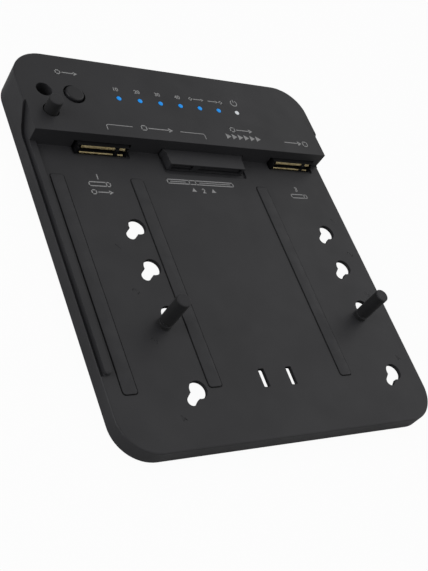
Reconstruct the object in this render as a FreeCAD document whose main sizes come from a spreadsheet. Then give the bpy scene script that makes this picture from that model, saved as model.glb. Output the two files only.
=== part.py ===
import FreeCAD, Part
import math
import os
import Sketcher

# Drive duplicator: a flat dock that copies one drive onto another.
# A wide deck carries the drives, and a raised head along its rear edge holds the board,
# the two card sockets, the drive connector, the lights, the key and the rear ports.
# Frame: origin under the middle of the housing, on the surface that it stands on.
# X runs to the right, Y to the rear (towards the head) and Z up. Millimetres throughout.

doc = FreeCAD.newDocument("drive_duplicator")
sheet = doc.addObject("Spreadsheet::Sheet", "Sizes")

# Driving sizes: name, value
DRIVING_SIZES = (
    # housing
    ("housing_width", 141.4),
    ("housing_depth", 164.7),
    ("corner_radius", 14.0),
    ("deck_height", 6.2),
    ("head_height", 14.3),
    ("head_depth", 39.15),
    ("wall", 1.8),
    ("deck_skin", 1.6),
    ("roof_skin", 1.8),
    ("edge_rounding", 0.6),
    ("rim_width", 1.35),
    ("rim_groove", 0.9),
    ("wing_foot_inset", 5.0),
    ("wing_rounding", 6.0),
    ("rail_width", 2.55),
    ("rail_height", 1.6),
    ("rail_front_inset", 28.85),
    ("rail_rounding", 1.2),
    ("partition_inset", 11.2),
    ("rib_thickness", 1.2),
    ("rib_depth", 2.6),
    ("long_rib_left_gap", 18.0),
    ("long_rib_right_gap", 32.15),
    ("cross_rib_long_gap", 17.5),
    ("cross_rib_standard_gap", 12.5),
    ("cross_rib_short_gap", 15.0),
    # clearances
    ("fit_gap", 0.15),
    ("board_gap", 1.0),
    ("slide_gap", 0.1),
    ("pivot_gap", 0.05),
    # feet
    ("foot_height", 1.0),
    ("foot_diameter", 10.0),
    ("foot_seat_depth", 0.4),
    ("foot_pad_wall", 1.0),
    ("front_foot_inset_x", 8.7),
    ("front_foot_inset_y", 10.35),
    ("rear_foot_inset_x", 10.7),
    ("rear_foot_inset_y", 18.35),
    # grip strips
    ("strip_width", 5.3),
    ("strip_height", 0.6),
    ("strip_seat_depth", 0.6),
    ("strip_corner", 1.0),
    ("strip_gap", 0.3),
    ("strip_front_inset", 21.55),
    ("strip_rear_gap", 13.9),
    ("strip_left_inset", 8.65),
    ("strip_middle_gap", 11.35),
    ("strip_right_gap", 21.45),
    # finger slots in the deck
    ("finger_slot_width", 2.7),
    ("finger_slot_length", 7.4),
    ("finger_slot_front_inset", 19.75),
    ("finger_slot_pitch", 12.7),
    ("finger_slot_shift", 0.35),
    ("finger_slot_corner", 0.5),
    # keyholes, at the standard card lengths from the card's seated edge
    ("card_edge_inset", 1.66),
    ("card_length_short", 42.0),
    ("card_length_medium", 60.0),
    ("card_length_standard", 80.0),
    ("card_length_long", 110.0),
    ("keyhole_narrow", 3.8),
    ("keyhole_wide", 7.0),
    ("keyhole_travel", 5.5),
    # card pins
    ("pin_diameter", 5.5),
    ("pin_height", 15.2),
    ("pin_neck", 3.6),
    ("pin_flange", 6.0),
    ("pin_flange_height", 1.6),
    ("pin_collar_height", 1.6),
    ("pin_groove_height", 1.1),
    ("pin_crown", 0.5),
    # storage holes for spare pins
    ("storage_bore", 6.4),
    ("storage_wall", 1.2),
    ("storage_inset_x", 10.3),
    ("storage_rear_inset", 19.05),
    ("storage_pitch", 10.2),
    # card sockets
    ("socket_left_inset", 30.8),
    ("socket_right_inset", 17.1),
    ("socket_width", 22.0),
    ("socket_depth", 7.6),
    ("socket_height", 5.6),
    ("socket_reach", 2.3),
    ("socket_mouth", 2.3),
    ("socket_mouth_rise", 3.3),
    ("socket_lip_set_back", 0.6),
    ("socket_mouth_depth", 5.0),
    ("socket_end_wall", 0.8),
    ("socket_recess_width", 24.5),
    ("socket_recess_reach", 3.9),
    ("recess_depth", 0.8),
    ("recess_corner", 1.2),
    ("window_relief", 0.5),
    ("contact_pitch", 0.5),
    ("contact_width", 0.3),
    ("contact_depth", 0.9),
    ("contact_height", 0.8),
    ("contact_nose", 0.15),
    ("contact_row_inset", 1.7),
    ("socket_key_width", 1.6),
    ("socket_key_gap", 0.2),
    # drive connector
    ("connector_offset", 6.45),
    ("connector_width", 36.5),
    ("connector_root_width", 39.3),
    ("connector_reach", 7.3),
    ("connector_draft", 0.4),
    ("connector_flare_start", 5.7),
    ("connector_flare_length", 1.4),
    ("connector_depth", 11.0),
    ("connector_height", 5.2),
    ("connector_mouth", 2.9),
    ("connector_mouth_depth", 6.5),
    ("connector_wall", 1.2),
    ("connector_roof", 0.7),
    ("connector_data_width", 9.9),
    ("connector_key_width", 3.2),
    ("tongue_thickness", 1.0),
    ("tongue_side_gap", 0.6),
    ("drive_contact_pitch", 1.27),
    ("drive_contact_width", 0.8),
    ("drive_contact_height", 0.2),
    ("connector_recess_width", 40.5),
    ("connector_recess_reach", 9.7),
    # board
    ("board_thickness", 1.6),
    ("standoff_height", 1.0),
    ("standoff_diameter", 5.0),
    ("board_corner", 10.0),
    # lights
    ("light_diameter", 2.0),
    ("light_pitch", 9.624),
    ("light_shift", 0.33),
    ("light_rear_inset", 19.15),
    ("carrier_height", 1.2),
    ("carrier_width", 3.0),
    ("carrier_lift", 3.0),
    ("led_length", 1.6),
    ("led_width", 0.8),
    ("led_height", 0.6),
    # clone key
    ("key_inset_x", 22.5),
    ("key_rear_inset", 19.85),
    ("key_diameter", 7.3),
    ("key_ring_gap", 0.8),
    ("key_proud", 1.0),
    ("key_travel", 0.8),
    ("key_flange", 10.2),
    ("key_flange_height", 1.0),
    ("key_stem", 3.0),
    ("key_crown", 0.6),
    ("switch_size", 6.0),
    ("switch_height", 3.4),
    ("plunger_diameter", 3.4),
    ("plunger_proud", 1.0),
    ("plunger_depth", 1.0),
    # low-voltage inlet
    ("inlet_inset_x", 22.7),
    ("inlet_width", 9.0),
    ("inlet_height", 10.0),
    ("inlet_length", 10.8),
    ("inlet_nose", 7.8),
    ("inlet_nose_root", 1.0),
    ("inlet_bore", 6.0),
    ("inlet_bore_depth", 9.0),
    ("inlet_pin", 2.0),
    ("inlet_pin_inset", 1.6),
    ("rear_set_back", 0.15),
    # computer port
    ("port_pitch", 26.0),
    ("port_width", 8.94),
    ("port_height", 3.26),
    ("port_length", 7.4),
    ("port_shell", 0.3),
    ("port_back", 1.0),
    ("port_tongue_width", 6.7),
    ("port_tongue_thickness", 0.7),
    ("port_tongue_inset", 0.8),
    # power switch
    ("rocker_inset_x", 30.7),
    ("rocker_case_width", 13.0),
    ("rocker_case_height", 8.4),
    ("rocker_case_length", 11.0),
    ("rocker_case_wall", 1.0),
    ("rocker_case_floor", 3.6),
    ("rocker_radius", 5.3),
    ("rocker_tilt", 10.0),
    ("rocker_face", 2.0),
    ("rocker_back", 1.5),
    ("rocker_overrun", 1.0),
    ("rocker_pivot_inset", 3.75),
    ("trunnion", 1.6),
    # cover and fasteners
    ("cover_thickness", 1.6),
    ("boss_diameter", 6.0),
    ("screw_shank", 2.2),
    ("screw_head", 4.4),
    ("screw_head_height", 0.9),
    ("front_screw_left", 21.0),
    ("front_screw_right", 34.0),
    ("front_screw_inset", 5.0),
    ("rear_screw_inset_x", 12.7),
    ("rear_screw_inset_y", 8.35),
    ("board_screw_head", 3.8),
    ("board_screw_head_height", 1.2),
    ("board_screw_shank", 2.0),
    ("board_screw_length", 2.4),
    ("board_screw_front_inset", 7.0),
    ("board_screw_rear_inset", 5.5),
    ("board_screw_front_left", 24.5),
    ("board_screw_front_right", 35.5),
    ("board_screw_inlet_gap", 14.0),
    ("board_screw_rear_inset_x", 19.7),
    # what stands on the board
    ("controller_size", 12.0),
    ("controller_height", 1.2),
    ("bridge_size", 7.0),
    ("bridge_height", 0.9),
    ("bridge_left_gap", 6.1),
    ("bridge_middle_gap", 16.05),
    ("bridge_right_gap", 3.4),
    ("chip_row_inset", 9.5),
    ("coil_size", 6.0),
    ("coil_height", 3.0),
    ("coil_pitch", 10.0),
    ("coil_left_offset", 5.5),
    ("coil_rear_inset", 12.65),
    ("can_diameter", 5.0),
    ("can_height", 5.4),
    ("can_offset", 23.5),
    ("can_pitch", 6.5),
)


class Size:
    """A length that keeps its number and the sheet formula that it comes from."""

    def __init__(self, value, text):
        self.value = value
        self.text = text

    def __add__(self, other):
        other = as_size(other)
        return Size(self.value + other.value, f"({self.text} + {other.text})")

    def __sub__(self, other):
        other = as_size(other)
        return Size(self.value - other.value, f"({self.text} - {other.text})")

    def __mul__(self, factor):
        factor = as_size(factor)
        return Size(self.value * factor.value, f"({self.text} * {factor.text})")

    def __truediv__(self, divisor):
        return Size(self.value / divisor, f"({self.text} / {divisor})")

    def __neg__(self):
        return Size(-self.value, f"(0 - {self.text})")

    def __radd__(self, other):
        return as_size(other) + self

    def __rsub__(self, other):
        return as_size(other) - self

    __rmul__ = __mul__


def as_size(item):
    if isinstance(item, Size):
        return item
    return Size(float(item), f"({float(item)!r})")


def tangent(angle):
    return Size(math.tan(math.radians(angle.value)), f"tan({angle.text} * 1 deg)")


def cell(name):
    return Size(float(sheet.get(name)), f"Sizes.{name}")


for row, (alias, number) in enumerate(DRIVING_SIZES, start=1):
    sheet.set(f"A{row}", alias)
    sheet.set(f"B{row}", str(number))
    sheet.setAlias(f"B{row}", alias)
doc.recompute()


# Levels and places that several pieces share
half_width = cell("housing_width") / 2
half_depth = cell("housing_depth") / 2
base_z = cell("foot_height")
deck_z = base_z + cell("deck_height")
deck_under_z = deck_z - cell("deck_skin")
head_z = base_z + cell("head_height")
roof_under_z = head_z - cell("roof_skin")
head_front_y = half_depth - cell("head_depth")
head_inner_y = head_front_y + cell("wall")
rear_inner_y = half_depth - cell("wall")
side_inner_x = half_width - cell("wall")
head_side_x = side_inner_x - cell("rim_width")
partition_y = head_front_y - cell("partition_inset")
cover_z = base_z + cell("cover_thickness")
board_under_z = cover_z + cell("standoff_height")
board_z = board_under_z + cell("board_thickness")
recess_z = deck_z - cell("recess_depth")
rear_face_y = half_depth - cell("rear_set_back")
inner_radius = cell("corner_radius") - cell("wall")
card_edge_y = head_front_y + cell("card_edge_inset")
light_y = half_depth - cell("light_rear_inset")
storage_x = -(half_width - cell("storage_inset_x"))
storage_ys = (
    half_depth - cell("storage_rear_inset"),
    half_depth - cell("storage_rear_inset") - cell("storage_pitch"),
)
key_x = -(half_width - cell("key_inset_x"))
key_y = half_depth - cell("key_rear_inset")
DIAGONAL = math.sqrt(0.5)
keyhole_shift = cell("keyhole_travel") * DIAGONAL
CARD_LENGTHS = ("card_length_short", "card_length_medium", "card_length_standard", "card_length_long")
left_socket_x = -(half_width - cell("socket_left_inset"))
right_socket_x = half_width - cell("socket_right_inset")
connector_x = cell("connector_offset")
inlet_x = -(half_width - cell("inlet_inset_x"))
port_x = inlet_x + cell("port_pitch")
rocker_x = half_width - cell("rocker_inset_x")
strip_xs = (
    -(half_width - cell("strip_left_inset")),
    left_socket_x + cell("strip_middle_gap"),
    right_socket_x - cell("strip_right_gap"),
)
strip_ys = (-(half_depth - cell("strip_front_inset")), head_front_y - cell("strip_rear_gap"))
long_rib_xs = (left_socket_x + cell("long_rib_left_gap"), right_socket_x - cell("long_rib_right_gap"))
LIGHT_COUNT = 7
light_xs = [
    cell("light_shift") + cell("light_pitch") * (index - (LIGHT_COUNT - 1) / 2)
    for index in range(LIGHT_COUNT)
]
cover_screws_at = (
    (-cell("front_screw_left"), partition_y + cell("front_screw_inset")),
    (cell("front_screw_right"), partition_y + cell("front_screw_inset")),
    (-(half_width - cell("rear_screw_inset_x")), half_depth - cell("rear_screw_inset_y")),
    (half_width - cell("rear_screw_inset_x"), half_depth - cell("rear_screw_inset_y")),
)
board_screw_front_y = head_inner_y + cell("board_screw_front_inset")
board_screw_rear_y = rear_inner_y - cell("board_screw_rear_inset")
board_screws_at = (
    (-cell("board_screw_front_left"), board_screw_front_y),
    (cell("board_screw_front_right"), board_screw_front_y),
    (inlet_x + cell("board_screw_inlet_gap"), board_screw_rear_y),
    (half_width - cell("board_screw_rear_inset_x"), board_screw_rear_y),
)
front_feet_at = (
    (-(half_width - cell("front_foot_inset_x")), -(half_depth - cell("front_foot_inset_y"))),
    (half_width - cell("front_foot_inset_x"), -(half_depth - cell("front_foot_inset_y"))),
)
rear_feet_at = (
    (-(half_width - cell("rear_foot_inset_x")), half_depth - cell("rear_foot_inset_y")),
    (half_width - cell("rear_foot_inset_x"), half_depth - cell("rear_foot_inset_y")),
)
LONG_ROW_CONTACTS = 29
SHORT_ROW_CONTACTS = 5
DATA_CONTACTS = 7
POWER_CONTACTS = 15
COIL_COUNT = 3
CAN_COUNT = 2
nodes = []


# Helpers for bound objects
def tie(target, prop, size):
    target.setExpression(prop, as_size(size).text)


def keep(name, item):
    """Make an object one of the finished sub-parts."""
    item.Label = name
    nodes.append(item)
    return item


def block(name, xs, ys, zs):
    """A box between two limits along each axis."""
    box = doc.addObject("Part::Box", name)
    for prop, axis, (low, high) in (("Length", "x", xs), ("Width", "y", ys), ("Height", "z", zs)):
        low = as_size(low)
        tie(box, prop, as_size(high) - low)
        tie(box, f"Placement.Base.{axis}", low)
    return box


def around(centre, width):
    return (centre - width / 2, centre + width / 2)


def rod(name, x, y, z, diameter, length, axis="z"):
    """A cylinder that starts at a point and runs along +Z, or along +Y."""
    cylinder = doc.addObject("Part::Cylinder", name)
    if axis == "y":
        cylinder.Placement.Rotation = FreeCAD.Rotation(FreeCAD.Vector(1, 0, 0), -90)
    tie(cylinder, "Radius", diameter / 2)
    tie(cylinder, "Height", length)
    for letter, place in (("x", x), ("y", y), ("z", z)):
        tie(cylinder, f"Placement.Base.{letter}", place)
    return cylinder


def fuse(name, pieces):
    joined = doc.addObject("Part::MultiFuse", name)
    joined.Shapes = pieces
    joined.Refine = True
    return joined


def cut(name, base, tools):
    result = doc.addObject("Part::Cut", name)
    result.Base = base
    result.Tool = tools[0] if len(tools) == 1 else fuse(f"{name}_tools", tools)
    return result


def group(name, pieces):
    together = doc.addObject("Part::Compound", name)
    together.Links = pieces
    return together


# Helpers for bodies and sketches
def sketch_on(body, name, plane, height=0):
    """A sketch on one of the body's own origin planes, moved along its normal."""
    sketch = body.newObject("Sketcher::SketchObject", name)
    support = next(item for item in body.Origin.OriginFeatures if item.Role == plane)
    sketch.AttachmentSupport = (support, [""])
    sketch.MapMode = "FlatFace"
    tie(sketch, "AttachmentOffset.Base.z", height)
    return sketch


def pin_point(sketch, geometry, position, x, y):
    """Hold one point of a sketch at bound coordinates."""
    for kind, place in (("DistanceX", as_size(x)), ("DistanceY", as_size(y))):
        index = sketch.addConstraint(
            Sketcher.Constraint(kind, -1, 1, geometry, position, place.value)
        )
        sketch.setExpression(f"Constraints[{index}]", place.text)


def set_radius(sketch, geometry, radius):
    index = sketch.addConstraint(Sketcher.Constraint("Radius", geometry, radius.value))
    sketch.setExpression(f"Constraints[{index}]", radius.text)


def ring(sketch, x, y, diameter):
    radius = as_size(diameter) / 2
    centre = FreeCAD.Vector(as_size(x).value, as_size(y).value, 0)
    geometry = sketch.addGeometry(Part.Circle(centre, FreeCAD.Vector(0, 0, 1), radius.value))
    set_radius(sketch, geometry, radius)
    pin_point(sketch, geometry, 3, x, y)


def outline(sketch, corners):
    """A closed loop of lines through corners (x, y) or, where rounded, (x, y, radius)."""
    points = [FreeCAD.Vector(as_size(c[0]).value, as_size(c[1]).value, 0) for c in corners]
    count = len(points)
    entries = []
    exits = []
    arcs = []
    for index, corner in enumerate(corners):
        here = points[index]
        back = (points[index - 1] - here).normalize()
        ahead = (points[(index + 1) % count] - here).normalize()
        if len(corner) == 2:
            entries.append(here)
            exits.append(here)
            arcs.append(None)
            continue
        radius = corner[2].value
        half_angle = back.getAngle(ahead) / 2
        reach = radius / math.tan(half_angle)
        bisector = (back + ahead).normalize()
        centre = here + bisector * (radius / math.sin(half_angle))
        entry = here + back * reach
        leave = here + ahead * reach
        entries.append(entry)
        exits.append(leave)
        turns_left = (here - points[index - 1]).cross(points[(index + 1) % count] - here).z > 0
        first, last = (entry, leave) if turns_left else (leave, entry)
        circle = Part.Circle(centre, FreeCAD.Vector(0, 0, 1), radius)
        start = math.atan2(first.y - centre.y, first.x - centre.x)
        end = math.atan2(last.y - centre.y, last.x - centre.x)
        if end < start:
            end += 2 * math.pi
        arcs.append((Part.ArcOfCircle(circle, start, end), turns_left))
    lines = [
        sketch.addGeometry(Part.LineSegment(exits[index], entries[(index + 1) % count]))
        for index in range(count)
    ]
    for index, corner in enumerate(corners):
        before = lines[index - 1]
        after = lines[index]
        if arcs[index] is None:
            sketch.addConstraint(Sketcher.Constraint("Coincident", before, 2, after, 1))
            pin_point(sketch, after, 1, corner[0], corner[1])
            continue
        shape, turns_left = arcs[index]
        arc = sketch.addGeometry(shape)
        entry_end, leave_end = (1, 2) if turns_left else (2, 1)
        sketch.addConstraint(Sketcher.Constraint("Tangent", before, 2, arc, entry_end))
        sketch.addConstraint(Sketcher.Constraint("Tangent", after, 1, arc, leave_end))
        set_radius(sketch, arc, corner[2])
        apex = sketch.addGeometry(Part.Point(points[index]), True)
        sketch.addConstraint(Sketcher.Constraint("PointOnObject", apex, 1, before))
        sketch.addConstraint(Sketcher.Constraint("PointOnObject", apex, 1, after))
        pin_point(sketch, apex, 1, corner[0], corner[1])


def rectangle(sketch, xs, ys, radius=None):
    """A rectangle between limits, its corners rounded where a radius is given."""
    corners = [(xs[0], ys[0]), (xs[1], ys[0]), (xs[1], ys[1]), (xs[0], ys[1])]
    if radius is not None:
        corners = [corner + (radius,) for corner in corners]
    outline(sketch, corners)


def obround(sketch, start, end, diameter):
    """A slot between two centres, with round ends."""
    radius = as_size(diameter) / 2
    a = FreeCAD.Vector(as_size(start[0]).value, as_size(start[1]).value, 0)
    b = FreeCAD.Vector(as_size(end[0]).value, as_size(end[1]).value, 0)
    along = math.atan2(b.y - a.y, b.x - a.x)
    side = FreeCAD.Vector(-math.sin(along), math.cos(along), 0) * radius.value
    up = FreeCAD.Vector(0, 0, 1)
    quarter = math.pi / 2
    cap_b = sketch.addGeometry(
        Part.ArcOfCircle(Part.Circle(b, up, radius.value), along - quarter, along + quarter)
    )
    top = sketch.addGeometry(Part.LineSegment(b + side, a + side))
    cap_a = sketch.addGeometry(
        Part.ArcOfCircle(Part.Circle(a, up, radius.value), along + quarter, along + 3 * quarter)
    )
    bottom = sketch.addGeometry(Part.LineSegment(a - side, b - side))
    sketch.addConstraint(Sketcher.Constraint("Tangent", cap_b, 2, top, 1))
    sketch.addConstraint(Sketcher.Constraint("Tangent", top, 2, cap_a, 1))
    sketch.addConstraint(Sketcher.Constraint("Tangent", cap_a, 2, bottom, 1))
    sketch.addConstraint(Sketcher.Constraint("Tangent", bottom, 2, cap_b, 1))
    sketch.addConstraint(Sketcher.Constraint("Equal", cap_a, cap_b))
    set_radius(sketch, cap_a, radius)
    pin_point(sketch, cap_a, 3, start[0], start[1])
    pin_point(sketch, cap_b, 3, end[0], end[1])


def pad(body, name, sketch, length, reverse=False):
    feature = body.newObject("PartDesign::Pad", name)
    feature.Profile = sketch
    tie(feature, "Length", length)
    feature.Reversed = reverse
    return feature


def pocket(body, name, sketch, length, reverse=False):
    """Cut a sketch against its normal, or along it where reversed, and prove that it cuts."""
    doc.recompute()
    before = body.Tip.Shape.Volume
    feature = body.newObject("PartDesign::Pocket", name)
    feature.Profile = sketch
    tie(feature, "Length", length)
    feature.Reversed = reverse
    doc.recompute()
    if feature.Shape.Volume > before - 1e-6:
        raise RuntimeError(f"{name} cuts nothing")
    return feature


def round_edges(body, name, radius, wanted):
    """Fillet the edges of the body's tip that the test picks."""
    doc.recompute()
    tip = body.Tip
    names = [f"Edge{index}" for index, edge in enumerate(tip.Shape.Edges, start=1) if wanted(edge)]
    if not names:
        raise RuntimeError(f"{name} finds no edge")
    feature = body.newObject("PartDesign::Fillet", name)
    feature.Base = (tip, names)
    tie(feature, "Radius", radius)
    return feature


def near(number, size):
    return abs(number - as_size(size).value) < 1e-3


def new_body(name):
    return doc.addObject("PartDesign::Body", name)


# Top housing
def wing_cut(body, side, front_y):
    """Lower the outer skin beside the head to the deck, with a sloping groove behind it."""
    rise = cell("head_height") - cell("deck_height")
    foot_y = head_front_y + cell("wing_foot_inset")
    over = cell("rim_width")
    fall = cell("rim_groove")
    sections = []
    for label, x, drop in (("outer", half_width + over, -fall), ("inner", half_width - over, fall)):
        place = x if side == "right" else -x
        profile = sketch_on(body, f"wing_{side}_{label}", "YZ_Plane", place)
        low = deck_z - drop
        high = deck_z + rise + over - drop
        outline(profile, [
            (front_y, low),
            (foot_y, low, cell("wing_rounding")),
            (foot_y + rise + over, high),
            (front_y, high),
        ])
        sections.append(profile)
    feature = body.newObject("PartDesign::SubtractiveLoft", f"wing_{side}")
    feature.Profile = sections[0]
    feature.Sections = [sections[1]]
    feature.Ruled = True


def make_housing():
    body = new_body("housing_body")
    outer_x = (-half_width, half_width)
    plan = sketch_on(body, "plan", "XY_Plane", base_z)
    rectangle(plan, outer_x, (-half_depth, half_depth), cell("corner_radius"))
    pad(body, "deck", plan, cell("deck_height"))
    head_plan = sketch_on(body, "head_plan", "XY_Plane", base_z)
    outline(head_plan, [
        (-half_width, head_front_y),
        (half_width, head_front_y),
        (half_width, half_depth, cell("corner_radius")),
        (-half_width, half_depth, cell("corner_radius")),
    ])
    pad(body, "head", head_plan, cell("head_height"))
    round_edges(body, "top_edges", cell("edge_rounding"), lambda edge: (
        near(edge.BoundBox.ZMin, head_z) and near(edge.BoundBox.ZMax, head_z)
        and edge.BoundBox.YMax > head_front_y.value + 1
        or near(edge.BoundBox.ZMin, deck_z) and near(edge.BoundBox.ZMax, deck_z)
        and edge.BoundBox.YMin < head_front_y.value - 1
    ))
    rail_left = -(half_width - cell("rim_width"))
    rail_front = -(half_depth - cell("rail_front_inset"))
    rail_plan = sketch_on(body, "rail_plan", "XY_Plane", base_z)
    rectangle(rail_plan, (rail_left, rail_left + cell("rail_width")), (rail_front, head_front_y))
    pad(body, "rail", rail_plan, cell("deck_height") + cell("rail_height"))
    rail_top = (deck_z + cell("rail_height")).value
    round_edges(body, "rail_ends", cell("rail_rounding"), lambda edge: (
        near(edge.CenterOfMass.y, rail_front) and abs(edge.CenterOfMass.z - rail_top) < 1e-3
        or near(edge.CenterOfMass.z, deck_z + cell("rail_height") / 2)
        and near(edge.CenterOfMass.y, rail_front)
    ))
    wing_cut(body, "left", rail_front)
    wing_cut(body, "right", head_front_y)

    front_room = sketch_on(body, "front_room", "XY_Plane", base_z)
    outline(front_room, [
        (-side_inner_x, -rear_inner_y, inner_radius),
        (side_inner_x, -rear_inner_y, inner_radius),
        (side_inner_x, partition_y - cell("wall")),
        (-side_inner_x, partition_y - cell("wall")),
    ])
    pocket(body, "under_deck", front_room, cell("deck_height") - cell("deck_skin"), True)
    rear_room = sketch_on(body, "rear_room", "XY_Plane", base_z)
    outline(rear_room, [
        (-side_inner_x, partition_y),
        (side_inner_x, partition_y),
        (side_inner_x, rear_inner_y, inner_radius),
        (-side_inner_x, rear_inner_y, inner_radius),
    ])
    pocket(body, "board_room", rear_room, cell("deck_height") - cell("deck_skin"), True)
    head_room = sketch_on(body, "head_room", "XY_Plane", base_z)
    outline(head_room, [
        (-head_side_x, head_inner_y),
        (head_side_x, head_inner_y),
        (head_side_x, rear_inner_y, inner_radius),
        (-head_side_x, rear_inner_y, inner_radius),
    ])
    pocket(body, "head_inside", head_room, cell("head_height") - cell("roof_skin"), True)

    # sleeves for the spare pins, screw bosses, foot pads and ribs hang from the skins
    sleeve_plan = sketch_on(body, "sleeve_plan", "XY_Plane", cover_z + cell("slide_gap"))
    for y in storage_ys:
        ring(sleeve_plan, storage_x, y, cell("storage_bore") + cell("storage_wall") * 2)
    pad(body, "sleeves", sleeve_plan, roof_under_z - cover_z - cell("slide_gap"))
    front_boss_plan = sketch_on(body, "front_boss_plan", "XY_Plane", cover_z)
    rear_boss_plan = sketch_on(body, "rear_boss_plan", "XY_Plane", cover_z)
    for place in cover_screws_at[:2]:
        ring(front_boss_plan, *place, cell("boss_diameter"))
    for place in cover_screws_at[2:]:
        ring(rear_boss_plan, *place, cell("boss_diameter"))
    pad(body, "front_bosses", front_boss_plan, deck_under_z - cover_z)
    pad(body, "rear_bosses", rear_boss_plan, roof_under_z - cover_z)
    foot_pad_plan = sketch_on(body, "foot_pad_plan", "XY_Plane", base_z)
    for place in front_feet_at:
        ring(foot_pad_plan, *place, cell("foot_diameter") + cell("foot_pad_wall") * 2)
    pad(body, "foot_pads", foot_pad_plan, cell("deck_height") - cell("deck_skin"))
    make_ribs(body)

    # bores that open upwards or downwards
    bore_plan = sketch_on(body, "bore_plan", "XY_Plane", head_z)
    for y in storage_ys:
        ring(bore_plan, storage_x, y, cell("storage_bore"))
    ring(bore_plan, key_x, key_y, cell("key_diameter") + cell("key_ring_gap") * 2)
    for x in light_xs:
        ring(bore_plan, x, light_y, cell("light_diameter") + cell("slide_gap") * 2)
    pocket(body, "head_bores", bore_plan, cell("head_height"))
    pilot_plan = sketch_on(body, "pilot_plan", "XY_Plane", base_z)
    for place in cover_screws_at:
        ring(pilot_plan, *place, cell("screw_shank") + cell("slide_gap"))
    pocket(body, "pilots", pilot_plan, deck_under_z - base_z - cell("slide_gap") * 2, True)
    seat_plan = sketch_on(body, "foot_seat_plan", "XY_Plane", base_z)
    for place in front_feet_at:
        ring(seat_plan, *place, cell("foot_diameter") + cell("fit_gap") * 2)
    pocket(body, "foot_seats", seat_plan, cell("foot_seat_depth"), True)

    # keyholes at the four card lengths, in front of each card socket
    wide_plan = sketch_on(body, "keyhole_wide_plan", "XY_Plane", deck_z)
    narrow_plan = sketch_on(body, "keyhole_narrow_plan", "XY_Plane", deck_z)
    for x in (left_socket_x, right_socket_x):
        for length in CARD_LENGTHS:
            y = card_edge_y - cell(length)
            ring(wide_plan, x + keyhole_shift, y + keyhole_shift, cell("keyhole_wide"))
            obround(narrow_plan, (x, y), (x + keyhole_shift, y + keyhole_shift), cell("keyhole_narrow"))
    through = cell("deck_skin") + cell("fit_gap")
    pocket(body, "keyholes_wide", wide_plan, through)
    pocket(body, "keyholes_narrow", narrow_plan, through)

    # strip seats and finger slots
    strip_plan = sketch_on(body, "strip_plan", "XY_Plane", deck_z)
    gap = cell("strip_gap")
    for x in strip_xs:
        rectangle(
            strip_plan,
            around(x, cell("strip_width") + gap * 2),
            (strip_ys[0] - gap, strip_ys[1] + gap),
            cell("strip_corner") + gap,
        )
    pocket(body, "strip_seats", strip_plan, cell("strip_seat_depth"))
    slot_plan = sketch_on(body, "slot_plan", "XY_Plane", deck_z)
    for side in (-1, 1):
        x = cell("finger_slot_pitch") * (side / 2) - cell("finger_slot_shift")
        low_y = -(half_depth - cell("finger_slot_front_inset"))
        rectangle(
            slot_plan,
            around(x, cell("finger_slot_width")),
            (low_y, low_y + cell("finger_slot_length")),
            cell("finger_slot_corner"),
        )
    pocket(body, "finger_slots", slot_plan, cell("deck_skin") + cell("fit_gap"))
    cut_connector_openings(body)
    cut_rear_openings(body)
    keep("top_housing", body)


def make_ribs(body):
    """Stiffening ribs under the deck, clear of the keyholes and finger slots."""
    ribs = sketch_on(body, "rib_plan", "XY_Plane", deck_under_z)
    half = cell("rib_thickness") / 2
    cross = sketch_on(body, "cross_rib_plan", "XY_Plane", deck_under_z)
    front_y = -rear_inner_y
    room_end = partition_y - cell("wall")
    for x in long_rib_xs:
        rectangle(ribs, (x - half, x + half), (front_y, room_end))
    pad(body, "long_ribs", ribs, cell("rib_depth"), True)
    rib_ys = (
        -(half_depth - cell("front_foot_inset_y")),
        card_edge_y - cell("card_length_long") + cell("cross_rib_long_gap"),
        card_edge_y - cell("card_length_standard") + cell("cross_rib_standard_gap"),
        card_edge_y - cell("card_length_short") + cell("cross_rib_short_gap"),
    )
    for y in rib_ys:
        rectangle(cross, (-side_inner_x, side_inner_x), (y - half, y + half))
    pad(body, "cross_ribs", cross, cell("rib_depth"), True)


def cut_connector_openings(body):
    """Shallow recesses in the deck and windows in the head's front wall."""
    gap = cell("fit_gap")
    shallow = sketch_on(body, "recess_plan", "XY_Plane", deck_z)
    deep = sketch_on(body, "window_plan", "XY_Plane", deck_z)
    wall_start = head_front_y - cell("window_relief")
    windows = sketch_on(body, "front_windows", "XZ_Plane", -wall_start)
    socket_top = board_z + cell("socket_height") + gap
    connector_top = board_z + cell("connector_height") + gap
    openings = (
        (left_socket_x, "socket", socket_top),
        (right_socket_x, "socket", socket_top),
        (connector_x, "connector", connector_top),
    )
    for x, kind, top in openings:
        wide = around(x, cell(f"{kind}_recess_width"))
        near_y = head_front_y - cell(f"{kind}_recess_reach")
        outline(shallow, [
            (wide[0], near_y, cell("recess_corner")),
            (wide[1], near_y, cell("recess_corner")),
            (wide[1], head_inner_y),
            (wide[0], head_inner_y),
        ])
        body_front = head_front_y - cell(f"{kind}_reach")
        half_body = cell(f"{kind}_width") / 2 + gap
        if kind == "socket":
            rectangle(deep, (x - half_body, x + half_body), (body_front - gap, head_inner_y + gap))
        else:
            half_block = half_body + cell("connector_draft")
            half_root = cell("connector_root_width") / 2 + gap
            root_y = body_front + cell("connector_flare_start") - gap
            outline(deep, [
                (x - half_block, body_front - gap),
                (x + half_block, body_front - gap),
                (x + half_block, root_y),
                (x + half_root, root_y),
                (x + half_root, head_inner_y + gap),
                (x - half_root, head_inner_y + gap),
                (x - half_root, root_y),
                (x - half_block, root_y),
            ])
        rectangle(windows, wide, (recess_z, top))
    pocket(body, "recesses", shallow, cell("recess_depth"))
    pocket(body, "deck_windows", deep, cell("deck_skin") + gap)
    pocket(body, "wall_windows", windows, cell("wall") + cell("window_relief") + gap)


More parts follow.
